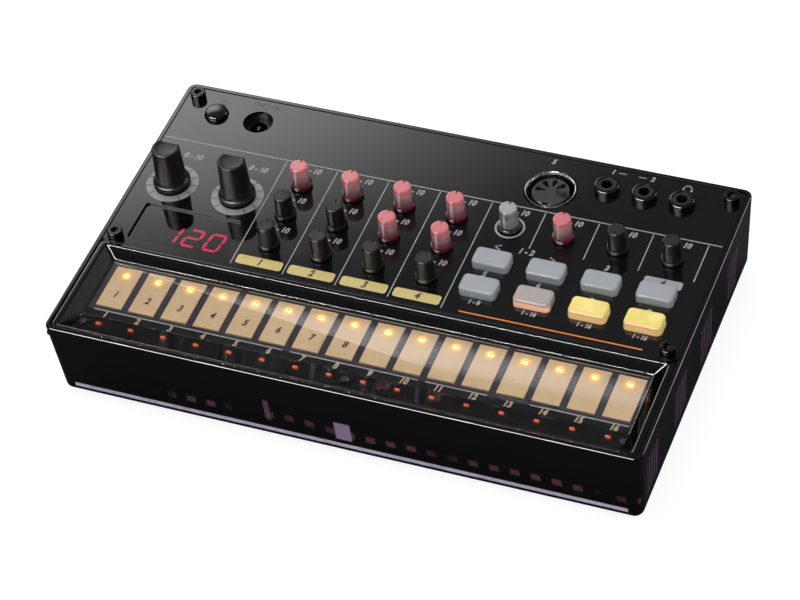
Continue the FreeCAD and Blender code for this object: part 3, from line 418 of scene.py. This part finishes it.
class Shape:
    """Vertices in millimetres and faces with their material, gathered into one mesh."""

    def __init__(self):
        self.verts, self.faces, self.marks, self.keys = [], [], [], []

    def mark(self, key):
        if key not in self.keys:
            self.keys.append(key)
        return self.keys.index(key)

    def add(self, verts, faces, key):
        start = len(self.verts)
        self.verts += [tuple(v) for v in verts]
        self.faces += [tuple(start + i for i in face) for face in faces]
        self.marks += [self.mark(key)] * len(faces)

    def loft(self, rings, key, lid=True, base=True):
        """Closed rings of equal length, lowest first, each counter-clockwise from above."""
        count = len(rings[0])
        verts = [point for ring in rings for point in ring]
        faces = []
        for level in range(len(rings) - 1):
            for i in range(count):
                j = (i + 1) % count
                low, high = level * count, (level + 1) * count
                faces.append((low + i, low + j, high + j, high + i))
        if lid:
            faces.append(tuple((len(rings) - 1) * count + i for i in range(count)))
        if base:
            faces.append(tuple(reversed(range(count))))
        self.add(verts, faces, key)

    def lathe(self, x, y, profile, key, steps=64, lid=True, base=True):
        rings = [[(px, py, z) for px, py in circle(x, y, radius, steps)] for radius, z in profile]
        self.loft(rings, key, lid, base)

    def plate(self, points, z, key, height=0.0):
        """A flat print, or a thin plate where a height is given."""
        if height:
            self.loft([[(x, y, z) for x, y in points], [(x, y, z + height) for x, y in points]], key)
        else:
            self.add([(x, y, z) for x, y in points], [tuple(range(len(points)))], key)

    def bar(self, x0, y0, x1, y1, width, z, key):
        along = Vector((x1 - x0, y1 - y0)).normalized() * width / 2
        side = Vector((-along.y, along.x))
        self.plate([(x0 + side.x, y0 + side.y), (x0 - side.x, y0 - side.y), (x1 - side.x, y1 - side.y),
                    (x1 + side.x, y1 + side.y)], z, key)

    def annulus(self, x, y, inner, outer, z, key, start=0.0, end=360.0, steps=48):
        verts, faces = [], []
        for i in range(steps + 1):
            angle = math.radians(start + (end - start) * i / steps)
            for radius in (inner, outer):
                verts.append((x + radius * math.cos(angle), y + radius * math.sin(angle), z))
        for i in range(steps):
            faces.append((2 * i, 2 * i + 1, 2 * i + 3, 2 * i + 2))
        self.add(verts, faces, key)

    def disc(self, x, y, radius, z, key, steps=40):
        self.plate(circle(x, y, radius, steps), z, key)

    def take(self, mesh, place, key, squeeze=1.0):
        """The faces of a ready flat mesh, moved to a place; the mesh goes."""
        x, y, z = place
        verts = [(x + v.co.x * squeeze, y + v.co.y, z) for v in mesh.vertices]
        self.add(verts, [tuple(f.vertices) for f in mesh.polygons], key)
        bpy.data.meshes.remove(mesh)

    def build(self, name, body, smooth=35.0):
        mesh = bpy.data.meshes.new(name)
        mesh.from_pydata([Vector(v) * MM for v in self.verts], [], self.faces)
        for key in self.keys:
            mesh.materials.append(PAINT[key])
        mesh.polygons.foreach_set("material_index", self.marks)
        mesh.update()
        piece = bpy.data.objects.new(name, mesh)
        bpy.context.scene.collection.objects.link(piece)
        if smooth:
            mesh.polygons.foreach_set("use_smooth", [True] * len(mesh.polygons))
            mesh.set_sharp_from_angle(angle=math.radians(smooth))
        if body:
            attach(piece, body)
        return piece


def circle(x, y, radius, steps):
    turns = [math.tau * i / steps for i in range(steps)]
    return [(x + radius * math.cos(turn), y + radius * math.sin(turn)) for turn in turns]


def oblong(x, y, width, depth, corner, steps=8):
    """The outline of a block with round corners, counter-clockwise."""
    points = []
    for quarter, (sx, sy) in enumerate(((1, 1), (-1, 1), (-1, -1), (1, -1))):
        cx, cy = x + sx * (width / 2 - corner), y + sy * (depth / 2 - corner)
        for i in range(steps + 1):
            angle = math.radians(90 * quarter + 90 * i / steps)
            points.append((cx + corner * math.cos(angle), cy + corner * math.sin(angle)))
    return points


def fillet(radius, z, reach, steps=7):
    """Profile points of a round top edge, from the side up to the top."""
    angles = [math.pi / 2 * i / steps for i in range(steps + 1)]
    return [(radius - reach * (1 - math.cos(a)), z - reach + reach * math.sin(a)) for a in angles]


def centre(node):
    low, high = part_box(node)
    return (low.x + high.x) / 2 / MM, (low.y + high.y) / 2 / MM


def plain_mesh(piece):
    """The mesh of a piece with its modifiers, or of a curve, as it stands."""
    bpy.context.view_layer.update()
    return bpy.data.meshes.new_from_object(piece.evaluated_get(bpy.context.evaluated_depsgraph_get()))


def carve(piece, tool):
    """piece minus tool, as plain mesh."""
    cut = piece.modifiers.new("cut", "BOOLEAN")
    cut.operation = "DIFFERENCE"
    cut.solver = "EXACT"
    cut.object = tool
    result = plain_mesh(piece)
    piece.modifiers.remove(cut)
    bpy.data.objects.remove(tool)
    piece.data = result
    result.polygons.foreach_set("use_smooth", [True] * len(result.polygons))
    result.set_sharp_from_angle(angle=math.radians(30))


def make_knobs():
    for node in KNOBS:
        x, y = centre(node)
        key = "lit_knob" if node in LIT_KNOBS else "clear_knob" if node == "speed_knob" else "knob"
        shape = Shape()
        profile = [(2.0, 27.0), (2.0, 30.5), (3.35, 30.5), (3.5, 30.65)] + fillet(3.5, 31.7, 0.25, 4)
        profile += [(3.0, 31.75), (2.95, 31.9)] + fillet(2.8, 39.0, 0.4, 6) + [(2.1, 39.0), (2.0, 38.92)]
        shape.lathe(x, y, profile, key, 56)
        knob = shape.build(node + "_cap", None)
        notch = Shape()
        notch.plate([(x - 0.4, y + 1.5), (x + 0.4, y + 1.5), (x + 0.4, y + 3.2), (x - 0.4, y + 3.2)],
                    38.2, key, 1.2)
        carve(knob, notch.build("notch", None, 0))
        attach(knob, node + "_body")
        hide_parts(node)


def make_dials():
    for node in ("dial_left", "dial_right"):
        x, y = centre(node)
        shape = Shape()
        profile = [(3.4, 31.1), (5.9, 31.1), (6.0, 31.2), (6.0, 31.9), (5.92, 32.1)]
        for i in range(1, 8):
            angle = math.pi / 2 * i / 7
            profile.append((5.92 - math.sin(angle), 32.1 + 2.0 * (1 - math.cos(angle))))
        profile += fillet(4.45, 46.0, 0.5, 7) + [(3.6, 46.0), (3.2, 45.9), (2.4, 45.8), (1.2, 45.75)]
        shape.lathe(x, y, profile, "dial", 72)
        dial = shape.build(node + "_cap", None)
        wedge = Shape()
        wedge.loft([[(x - 8, y + front, z), (x + 8, y + front, z), (x + 8, y + 9, z), (x - 8, y + 9, z)]
                    for front, z in ((4.9, 37.9), (2.3, 46.1))], "dial")
        carve(dial, wedge.build("wedge", None, 0))
        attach(dial, node + "_body")
        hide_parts(node)


def make_keys():
    lit = {"key_front_2": "step_key", "key_front_3": "lit_key", "key_front_4": "lit_key"}
    for row in ("rear", "front"):
        for n in (1, 2, 3, 4):
            node = "key_%s_%d" % (row, n)
            x, y = centre(node)
            key = lit.get(node, "key")
            shape = Shape()
            rings = [[(px, py, 27.7) for px, py in oblong(x, y, 14.2, 9.4, 1.5)],
                     [(px, py, 28.0) for px, py in oblong(x, y, 14.2, 9.4, 1.5)],
                     [(px, py, 28.05) for px, py in oblong(x, y, 11.8, 7.0, 1.5)]]
            for i in range(9):
                angle = math.pi / 2 * i / 8
                inset = 0.9 * (1 - math.cos(angle))
                outline = oblong(x, y, 11.8 - 2 * inset, 7.0 - 2 * inset, 1.5 - 0.6 * inset)
                rings.append([(px, py, 32.15 + 0.9 * math.sin(angle)) for px, py in outline])
            rings.append([(px, py, 33.1) for px, py in oblong(x, y, 8.4, 3.6, 0.8)])
            shape.loft(rings, key)
            cap = shape.build(node + "_cap", node + "_body", 60)
            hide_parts(node)


def make_power_button():
    x, y = centre("power_button")
    shape = Shape()
    profile = [(4.9, 26.8), (4.9, 27.6), (3.75, 27.65), (3.75, 31.0)] + fillet(3.75, 31.9, 0.9, 7)[1:]
    profile += [(2.2, 32.0), (1.0, 32.1)]
    shape.lathe(x, y, profile, "button", 64)
    cap = shape.build("power_button_cap", "power_button_body")
    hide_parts("power_button")


FONT = bpy.data.curves.new("numerals", "FONT")
FONT.align_x = "CENTER"
FONT.align_y = "CENTER"
FONT.resolution_u = 4
FONT.shear = 0.22
FONT.offset = 0.13


def numeral(shape, text, x, y, z, size, key):
    """Plain numbers, laid flat."""
    FONT.body = text
    FONT.size = size
    holder = bpy.data.objects.new("numeral", FONT)
    bpy.context.scene.collection.objects.link(holder)
    mesh = plain_mesh(holder)
    bpy.data.objects.remove(holder)
    shape.take(mesh, (x, y, z), key, 0.86)


class Pattern:
    """A Geometry Nodes tree with named sizes, in millimetres, for shapes that repeat at given places or by rule."""

    def __init__(self, name, sizes):
        self.tree = bpy.data.node_groups.new(name, "GeometryNodeTree")
        self.tree.interface.new_socket(name="Places", in_out="INPUT", socket_type="NodeSocketGeometry")
        self.identifiers = {}
        for label, amount in sizes.items():
            kind = "NodeSocketInt" if isinstance(amount, int) else "NodeSocketFloat"
            socket = self.tree.interface.new_socket(name=label, in_out="INPUT", socket_type=kind)
            socket.default_value = amount
            self.identifiers[label] = socket.identifier
        self.tree.interface.new_socket(name="Mesh", in_out="OUTPUT", socket_type="NodeSocketGeometry")
        self.size = self.tree.nodes.new("NodeGroupInput").outputs

    def node(self, kind, feeds=None, **settings):
        """A node whose inputs, by name or number, come from sockets or plain values."""
        item = self.tree.nodes.new(kind)
        for setting, amount in settings.items():
            setattr(item, setting, amount)
        for label, source in (feeds or {}).items():
            if isinstance(source, bpy.types.NodeSocket):
                self.tree.links.new(source, item.inputs[label])
            else:
                item.inputs[label].default_value = source
        return item.outputs[0]

    def math(self, operation, first, second=0.0):
        return self.node("ShaderNodeMath", {0: first, 1: second}, operation=operation)

    def vector(self, x=0.0, y=0.0, z=0.0):
        return self.node("ShaderNodeCombineXYZ", {"X": x, "Y": y, "Z": z})

    def strip(self, length, width):
        """A flat strip along x."""
        return self.node("GeometryNodeMeshGrid", {"Size X": length, "Size Y": width, "Vertices X": 2,
                                                  "Vertices Y": 2})

    def end(self, instances, key):
        real = self.node("GeometryNodeRealizeInstances", {"Geometry": instances})
        painted = self.node("GeometryNodeSetMaterial", {"Geometry": real, "Material": PAINT[key]})
        self.tree.links.new(painted, self.tree.nodes.new("NodeGroupOutput").inputs[0])

    def mesh(self, sizes, places=()):
        points = bpy.data.meshes.new("places")
        points.from_pydata(places, [], [])
        holder = bpy.data.objects.new("holder", points)
        bpy.context.scene.collection.objects.link(holder)
        modifier = holder.modifiers.new("pattern", "NODES")
        modifier.node_group = self.tree
        for label, amount in sizes.items():
            modifier[self.identifiers[label]] = amount
        mesh = plain_mesh(holder)
        bpy.data.objects.remove(holder)
        bpy.data.meshes.remove(points)
        return mesh


def make_divider_lines():
    """Printed lines that run front to back, one at each place."""
    lines = Pattern("divider_lines", {"Length": 47.0, "Width": 0.35})
    line = lines.strip(lines.size["Width"], lines.size["Length"])
    lines.end(lines.node("GeometryNodeInstanceOnPoints", {"Points": lines.size["Places"], "Instance": line}),
              "print")
    return lines


def make_dial_ticks():
    """Short printed marks round a dial, the first at the low end of its turn."""
    ticks = Pattern("dial_ticks", {"Count": 11, "First Angle": 230.0, "Step": 28.0, "Inner Radius": 6.4,
                                   "Outer Radius": 8.5, "Width": 0.3})
    turned = ticks.math("MULTIPLY", ticks.node("GeometryNodeInputIndex"), ticks.size["Step"])
    angle = ticks.math("RADIANS", ticks.math("SUBTRACT", ticks.size["First Angle"], turned))
    inner, outer = ticks.size["Inner Radius"], ticks.size["Outer Radius"]
    middle = ticks.math("MULTIPLY", ticks.math("ADD", inner, outer), 0.5)
    place = ticks.vector(ticks.math("MULTIPLY", middle, ticks.math("COSINE", angle)),
                         ticks.math("MULTIPLY", middle, ticks.math("SINE", angle)))
    row = ticks.node("GeometryNodeMeshLine", {"Count": ticks.size["Count"]})
    ring = ticks.node("GeometryNodeSetPosition", {"Geometry": row, "Position": place})
    tick = ticks.strip(ticks.math("SUBTRACT", outer, inner), ticks.size["Width"])
    ticks.end(ticks.node("GeometryNodeInstanceOnPoints", {"Points": ring, "Instance": tick,
                                                          "Rotation": ticks.vector(z=angle)}), "tick")
    return ticks


def make_dial_scales(shape, z):
    ticks = make_dial_ticks()
    for node in ("dial_left", "dial_right"):
        x, y = centre(node)
        shape.annulus(x, y, 5.9, 8.5, z, "ringprint", 0, 360, 72)
        shape.take(ticks.mesh({"Count": 11}), (x, y, z + OVERPRINT_LIFT), "tick")
        numeral(shape, "0 - 10", x + 1.6, y + 13.2, z, 3.1, "print")
    x, y = centre("speed_knob")
    shape.annulus(x, y, 4.1, 4.8, z, "print", 0, 360, 56)


def make_panel_signs(shape, z):
    """Arrows over the rear keys, play and record over the front ones, and the marks by the sockets."""
    for x, y, side in ((27.5, 13.1, 1), (45.5, 12.1, -1)):
        for rise in (1.0, -1.0):
            shape.bar(x - side, y, x + side, y + rise, 0.35, z, "print")
    shape.plate([(62.0, -1.3), (64.2, -0.3), (62.0, 0.7)], z, "print")
    shape.disc(80.6, -0.2, 0.9, z, "print")
    x, y = centre("power_button")
    shape.annulus(x + 0.6, y + 6.0, 0.9, 1.2, z, "faint", 120, 420, 24)
    shape.bar(x + 0.6, y + 6.0, x + 0.6, y + 7.4, 0.3, z, "faint")
    polarity_y = 53.3
    for x in (-71.0, -67.4, -63.8):
        shape.annulus(x, polarity_y, 0.95, 1.25, z, "faint", 0, 360, 24)
    shape.disc(-67.4, polarity_y, 0.35, z, "faint")
    for x in (-71.0, -69.2, -65.6, -63.8):
        shape.bar(x - 0.5, polarity_y, x + 0.5, polarity_y, 0.28, z, "faint")
    shape.bar(-63.8, polarity_y - 0.5, -63.8, polarity_y + 0.5, 0.28, z, "faint")
    shape.annulus(76.4, 53.1, 1.0, 1.35, z, "print", -20, 200, 24)
    for x in (75.1, 77.7):
        shape.plate(oblong(x, 52.5, 0.7, 1.3, 0.3, 3), z, "print")
    for x in (54.7, 61.3):
        shape.bar(x - 1.3, 54.0, x + 1.3, 54.0, 0.3, z, "print")


def make_panel_numbers(shape, z):
    for node in KNOBS:
        x, y = centre(node)
        numeral(shape, "0 - 10", x + 0.6, y + 7.0, z, 3.1, "print")
    for text, x, y, size in (("1 - 2", 36.6, 13.3, 3.1), ("3", 62.7, 13.4, 3.1), ("5", 27.2, 0.9, 3.1),
                             ("6", 44.8, 0.6, 3.1), ("5", 32.0, 53.4, 2.9), ("1", 51.6, 54.0, 2.7),
                             ("2", 64.6, 54.0, 2.7)):
        numeral(shape, text, x, y, z, size, "print")
    shape.plate(oblong(81.1, 12.05, 12.2, 3.5, 0.8), z, "print")
    numeral(shape, "4", 81.0, 12.1, z + OVERPRINT_LIFT, 3.0, "tick")
    for n, text in enumerate(("1 - 8", "1 - 16", "1 - 16", "1 - 16")):
        x, y = centre("key_front_%d" % (n + 1))
        numeral(shape, text, x, y - 5.5, z, 2.3, "print")
    for n, x in enumerate((-42.1, -24.6, -7.0, 10.5)):
        shape.plate(oblong(x, -13.3, 15.4, 3.9, 1.0), z, "pill")
        numeral(shape, str(n + 1), x, -13.3, z + OVERPRINT_LIFT, 3.8, "dark")


def make_panel_print():
    z = PANEL_TOP + PRINT_LIFT
    shape = Shape()
    shape.bar(-94.4, 31.6, 94.0, 31.6, 0.4, z, "print")
    dividers = make_divider_lines()
    for row, middle, length in (((-50.9, -33.3, -15.7, 1.8, 19.3), 7.5, 47.0),
                                ((37.0, 54.6, 72.2, 89.9), 23.0, 16.0)):
        places = [(x, middle, 0) for x in row]
        shape.take(dividers.mesh({"Length": length}, places), (0, 0, z), "print")
    shape.bar(25.0, -15.7, 83.5, -15.7, 0.5, z, "orange")
    make_dial_scales(shape, z)
    make_panel_signs(shape, z)
    make_panel_numbers(shape, z)
    shape.build("panel_print", "chassis", 0)


def make_pad_print():
    """Numbers on the first eight pads, lines behind and in front of all, and numbers over the front lamps."""
    def pad_x(n):
        return (n - (PAD_COUNT - 1) / 2) * PAD_PITCH

    shape = Shape()
    for n in range(PAD_COUNT // 2):
        numeral(shape, str(n + 1), pad_x(n), -34.4, PAD_TOP + PRINT_LIFT, 3.6, "dark")
    board = BOARD_TOP + PRINT_LIFT
    for groups, y, key in ((((0, 3), (4, 11), (12, 15)), -21.6, "beige"),
                           (((0, 5), (6, 9), (10, 11), (13, 15)), -41.1, "pale")):
        for first, last in groups:
            shape.bar(pad_x(first) - 4.3, y, pad_x(last) + 4.3, y, 0.35, board, key)
    for n in range(PAD_COUNT):
        numeral(shape, str(n + 1), pad_x(n) + 0.2, -42.7, board, 3.2, "beige")
    shape.build("pad_print", "chassis", 0)


def make_digits():
    """Four seven-segment figures that show 120; the unlit bars are just visible."""
    z = DISPLAY_TOP + PRINT_LIFT
    shape = Shape()
    lean = math.tan(math.radians(9))
    half_w, half_h, thick = 2.3, 4.0, 0.95
    segments = {
        "a": ((-1, 1), (1, 1)), "b": ((1, 1), (1, 0)), "c": ((1, 0), (1, -1)), "d": ((-1, -1), (1, -1)),
        "e": ((-1, 0), (-1, -1)), "f": ((-1, 1), (-1, 0)), "g": ((-1, 0), (1, 0)),
    }
    lit = (("", -82.6), ("bc", -75.2), ("abged", -67.9), ("abcdef", -60.4))
    for names, cx in lit:
        for name, ends in segments.items():
            pts = []
            for ex, ey in ends:
                py = ey * (half_h - thick / 2)
                pts.append(Vector((cx + ex * half_w + py * lean, -7.2 + py)))
            along = (pts[1] - pts[0]).normalized()
            side = Vector((-along.y, along.x)) * thick / 2
            a, b = pts[0] + along * 0.12, pts[1] - along * 0.12
            tip = along * thick / 2
            outline = (a, a + tip - side, b - tip - side, b, b - tip + side, a + tip + side)
            shape.plate([tuple(point) for point in outline], z, "digit" if name in names else "unlit")
    shape.build("display_digits", "chassis", 0)


def make_window():
    """The clear moulding over the pads, with the small round edges that the CAD leaves sharp."""
    def ring(half, rear, front, z, corner):
        points = oblong(0, -(rear + front) / 2, 2 * half, front - rear, corner, 4)
        out = []
        for quarter in range(4):
            arc = points[5 * quarter:5 * quarter + 5]
            start, end = Vector(arc[-1]), Vector(points[(5 * quarter + 5) % 20])
            # a point near each end of the straight side keeps its shading flat
            hold = (end - start).normalized() * 0.3
            out += arc + [tuple(start + hold), tuple(end - hold)]
        return [(px, py, z) for px, py in out]

    def between(first, second, part):
        return [a + (b - a) * part for a, b in zip(first, second)]

    def bend(first, corner, last, steps=5):
        """Rings that round a corner off, from the first to the last."""
        out = []
        for i in range(steps + 1):
            t = i / steps
            out.append([a * (1 - t) ** 2 + 2 * b * t * (1 - t) + c * t * t
                        for a, b, c in zip(first, corner, last)])
        return out

    # each ring: half its width, how far forward its rear and its front are, its height and its corner radius
    low_floor, floor = [89.0, 21.5, 45.6, 24.7, 0.5], [89.0, 21.5, 45.6, 26.7, 0.5]
    low_rim, rim = [92.8, 18.9, 54.7, 28.1, 0.8], [92.8, 18.9, 54.7, PANEL_TOP, 0.8]
    low_edge, edge = [94.75, 17.5, 55.75, 28.1, 1.5], [94.75, 17.5, 55.75, PANEL_TOP, 1.5]
    centre_line = [0, 33.5, 33.5, 26.7, 0.4]
    rows = [low_floor, low_rim, low_edge, between(edge, low_edge, 0.25)]
    rows += bend(between(edge, low_edge, 0.16), edge, between(edge, rim, 0.3), 4)
    rows += [between(edge, rim, 0.4), between(rim, edge, 0.3)]
    rows += bend(between(rim, edge, 0.22), rim, between(rim, floor, 0.06))
    rows += [between(rim, floor, 0.09), between(floor, rim, 0.08)]
    rows += bend(between(floor, rim, 0.05), floor, between(floor, centre_line, 0.004))
    rows += [between(floor, centre_line, 0.008)]
    shape = Shape()
    shape.loft([ring(*row) for row in rows], "window")
    piece = shape.build("key_window_moulding", "chassis", 60)
    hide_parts("key_window")
    seam = Shape()
    seam.loft([[(-94.7, -17.46, z), (94.7, -17.46, z), (94.7, -17.34, z), (-94.7, -17.34, z)]
               for z in (28.2, 29.9)], "ring")
    seam.build("window_seam", "chassis", 0)


def make_din_socket():
    """The shell's thin bright lip with its inner wall, and the black face with five slots and a key."""
    x, y = centre("din_shell")
    shape = Shape()
    profile = [(8.2, 20.8), (8.2, 30.4), (8.1, 30.55), (7.95, 30.6), (7.8, 30.55), (7.55, 30.2), (7.35, 29.6),
               (7.3, 20.8)]
    shape.lathe(x, y, profile, "shell", 96, False, False)
    shell = shape.build("din_shell_lip", "chassis")
    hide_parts("din_shell")
    shape = Shape()
    shape.lathe(x, y, [(7.25, 20.9), (7.25, 27.4), (6.1, 27.5)], "socket", 96)
    shape.lathe(x, y, [(6.0, 27.0), (6.0, 29.2), (5.8, 29.4)], "insert", 96)
    face = shape.build("din_face", None)
    drop = ((1.6, 0.0), (2.4, 0.45), (3.4, 0.5), (4.0, 0.95), (4.7, 0.75), (5.1, 0.3),
            (5.1, -0.3), (4.7, -0.75), (4.0, -0.95), (3.4, -0.5), (2.4, -0.45))
    for n in range(5):
        angle = math.radians(45 * n)
        c, s = math.cos(angle), math.sin(angle)
        tool = Shape()
        tool.plate([(x + along * c + across * s, y + 0.3 + along * s - across * c) for along, across in drop],
                   26.5, "insert", 4.0)
        carve(face, tool.build("slot", None, 0))
    tool = Shape()
    tool.plate([(x - 1.1, y - 6.6), (x + 1.1, y - 6.6), (x + 1.1, y - 5.2), (x - 1.1, y - 5.2)],
               27.0, "insert", 4.0)
    carve(face, tool.build("slot", None, 0))
    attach(face, "chassis")
    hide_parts("din_insert")
    shape = Shape()
    shape.plate(oblong(x, y - 6.5, 1.5, 1.2, 0.4, 4), 27.4, "shell", 1.6)
    shape.build("din_key_tab", "chassis")


make_window()
make_din_socket()
make_knobs()
make_dials()
make_keys()
make_power_button()
make_panel_print()
make_pad_print()
make_digits()
bpy.data.curves.remove(FONT)


def heading(azimuth, height):
    """The direction of a compass angle, in radians from the rear towards the right, and a height angle."""
    return Vector((math.sin(azimuth) * math.cos(height), math.cos(azimuth) * math.cos(height), math.sin(height)))


def make_floor():
    """White to the camera with the object's shadow on it, and grey where the object mirrors it."""
    finish = Finish("floor_white", (255, 255, 255), 0.9)
    tree = finish.tree
    light_path = finish.node("ShaderNodeLightPath")
    white = finish.node("ShaderNodeEmission")
    white.inputs["Strength"].default_value = 0.84
    shaded = finish.node("ShaderNodeBsdfDiffuse")
    shaded.inputs["Color"].default_value = srgb(150, 150, 150)
    seen = finish.node("ShaderNodeAddShader")
    plain = finish.node("ShaderNodeBsdfDiffuse")
    plain.inputs["Color"].default_value = srgb(70, 69, 72)
    mix = finish.node("ShaderNodeMixShader")
    tree.links.new(white.outputs[0], seen.inputs[0])
    tree.links.new(shaded.outputs[0], seen.inputs[1])
    tree.links.new(light_path.outputs["Is Camera Ray"], mix.inputs[0])
    tree.links.new(plain.outputs[0], mix.inputs[1])
    tree.links.new(seen.outputs[0], mix.inputs[2])
    # seen from below, the floor is clear, and the light beneath it passes, so that the underside shows
    below = finish.node("ShaderNodeMixShader")
    clear = finish.math("MAXIMUM", finish.node("ShaderNodeNewGeometry").outputs["Backfacing"],
                        light_path.outputs["Is Shadow Ray"])
    tree.links.new(clear, below.inputs[0])
    tree.links.new(mix.outputs[0], below.inputs[1])
    tree.links.new(finish.node("ShaderNodeBsdfTransparent").outputs[0], below.inputs[2])
    tree.links.new(below.outputs[0], tree.nodes["Material Output"].inputs["Surface"])
    mesh = bpy.data.meshes.new("floor")
    mesh.from_pydata([(-6, -6, 0), (6, -6, 0), (6, 6, 0), (-6, 6, 0)], [], [(0, 1, 2, 3)])
    mesh.materials.append(finish.material)
    floor = bpy.data.objects.new("floor", mesh)
    bpy.context.scene.collection.objects.link(floor)


def make_world():
    """White to the camera, plain to the surfaces, with soft lamps that only the glossy ones mirror."""
    world = bpy.data.worlds.new("studio")
    bpy.context.scene.world = world
    world.use_nodes = True
    tree = world.node_tree
    tree.nodes.clear()
    output = tree.nodes.new("ShaderNodeOutputWorld")
    coords = tree.nodes.new("ShaderNodeTexCoord")
    path = tree.nodes.new("ShaderNodeLightPath")

    def calc(operation, *sources):
        item = tree.nodes.new("ShaderNodeMath")
        item.operation = operation
        for socket, source in zip(item.inputs, sources):
            if isinstance(source, bpy.types.NodeSocket):
                tree.links.new(source, socket)
            else:
                socket.default_value = source
        return item.outputs[0]

    def product(first, *others):
        for source in others:
            first = calc("MULTIPLY", first, source)
        return first

    def along(direction):
        """How far a ray points in a direction, from -1 to 1."""
        item = tree.nodes.new("ShaderNodeVectorMath")
        item.operation = "DOT_PRODUCT"
        tree.links.new(coords.outputs["Generated"], item.inputs[0])
        item.inputs[1].default_value = direction
        return item.outputs["Value"]

    def soft(source, low, high, start, end):
        item = tree.nodes.new("ShaderNodeMapRange")
        item.interpolation_type = "SMOOTHSTEP"
        tree.links.new(source, item.inputs["Value"])
        for name, amount in (("From Min", low), ("From Max", high), ("To Min", start), ("To Max", end)):
            item.inputs[name].default_value = amount
        return item.outputs["Result"]

    # a broad soft panel of light behind and to the left, which the glossy top mirrors
    azimuth, height = math.radians(-28.5), math.radians(44.5)
    aim = heading(azimuth, height)
    across = Vector((math.cos(azimuth), -math.sin(azimuth), 0))
    above = across.cross(aim)
    facing = soft(along(aim), 0.5, 0.7, 0.0, 1.0)
    side = product(soft(along(across), -0.4, -0.25, 0.0, 1.0), soft(along(across), -0.04, 0.13, 1.0, 0.0))
    lift = product(soft(along(above), -0.4, -0.25, 0.0, 1.0), soft(along(above), -0.05, 0.02, 1.0, 0.0))
    panel = product(side, lift, facing, 3.8)
    # a long thin lamp in front and one low at the right, which draw the bright lines along the edges
    strip = Vector((-0.311, -0.72, 0.617)).normalized()
    strip_across = Vector((0.92, -0.39, 0.0)).normalized()
    strip_above = strip.cross(strip_across)
    wide = calc("ABSOLUTE", along(strip_across))
    tall = calc("ABSOLUTE", along(strip_above))
    front = product(soft(wide, 0.35, 0.5, 1.0, 0.0), soft(tall, 0.09, 0.17, 40.0, 0.0),
                    soft(along(strip), 0.5, 0.6, 0.0, 1.0))
    low = along(Vector((0.72, 0.618, 0.22)).normalized())
    right = calc("ADD", soft(low, 0.9945, 0.9976, 0.0, 8.0), soft(low, 0.95, 0.985, 0.0, 1.6))
    upward = along(Vector((0, 0, 1)))
    rest = soft(upward, 0.14, 0.45, 0.03, 0.2)
    mirrored = calc("ADD", calc("ADD", panel, rest), calc("ADD", front, right))
    overhead = soft(upward, 0.75, 0.9, 0.08, 5.0)
    # a ray that has passed through clear plastic counts as glossy too, so the mirrored lamps are kept from it
    passed = path.outputs["Is Transmission Ray"]
    bounced = calc("SUBTRACT", path.outputs["Is Glossy Ray"], passed)
    strength = path.outputs["Is Camera Ray"]
    for light in (product(path.outputs["Is Diffuse Ray"], 0.55), product(mirrored, bounced),
                  product(passed, overhead)):
        strength = calc("MAXIMUM", strength, light)
    background = tree.nodes.new("ShaderNodeBackground")
    background.inputs["Color"].default_value = (1, 1, 1, 1)
    tree.links.new(strength, background.inputs["Strength"])
    tree.links.new(background.outputs[0], output.inputs["Surface"])


def area(name, place, size, power):
    """A square lamp aimed at the object, kept out of reflections and clear plastic."""
    light = bpy.data.lights.new(name, "AREA")
    light.size = size
    light.energy = power
    lamp = bpy.data.objects.new(name, light)
    bpy.context.scene.collection.objects.link(lamp)
    lamp.location = place
    lamp.visible_glossy = False
    lamp.visible_transmission = False
    lamp.rotation_euler = (-Vector(place)).to_track_quat("-Z", "Y").to_euler()


def make_camera():
    azimuth, height, roll = math.radians(26.69), math.radians(46.19), math.radians(-7.95)
    back = heading(math.pi - azimuth, height)
    level = Vector((math.cos(azimuth), math.sin(azimuth), 0))
    upright = back.cross(level)
    right = level * math.cos(roll) + upright * math.sin(roll)
    up = upright * math.cos(roll) - level * math.sin(roll)
    target = Vector((0, 0, RIM)) - 0.07 * right - 12.84 * up
    place = (target + 933.46 * back) * MM
    data = bpy.data.cameras.new("camera")
    data.lens = 135.8
    data.sensor_width = 36.0
    data.clip_end = 50.0
    camera = bpy.data.objects.new("camera", data)
    bpy.context.scene.collection.objects.link(camera)
    turn = Matrix((right, up, back)).transposed().to_4x4()
    camera.matrix_world = Matrix.Translation(place) @ turn
    bpy.context.scene.camera = camera


make_floor()
make_world()
area("key_light", (-0.5, 0.3, 1.1), 0.9, 7.0)
area("fill_light", (0.7, -0.7, 0.7), 0.6, 2.5)
area("under_light", (0.2, -0.3, -0.9), 0.8, 5.0)
make_camera()
bpy.context.scene.view_settings.view_transform = "Standard"
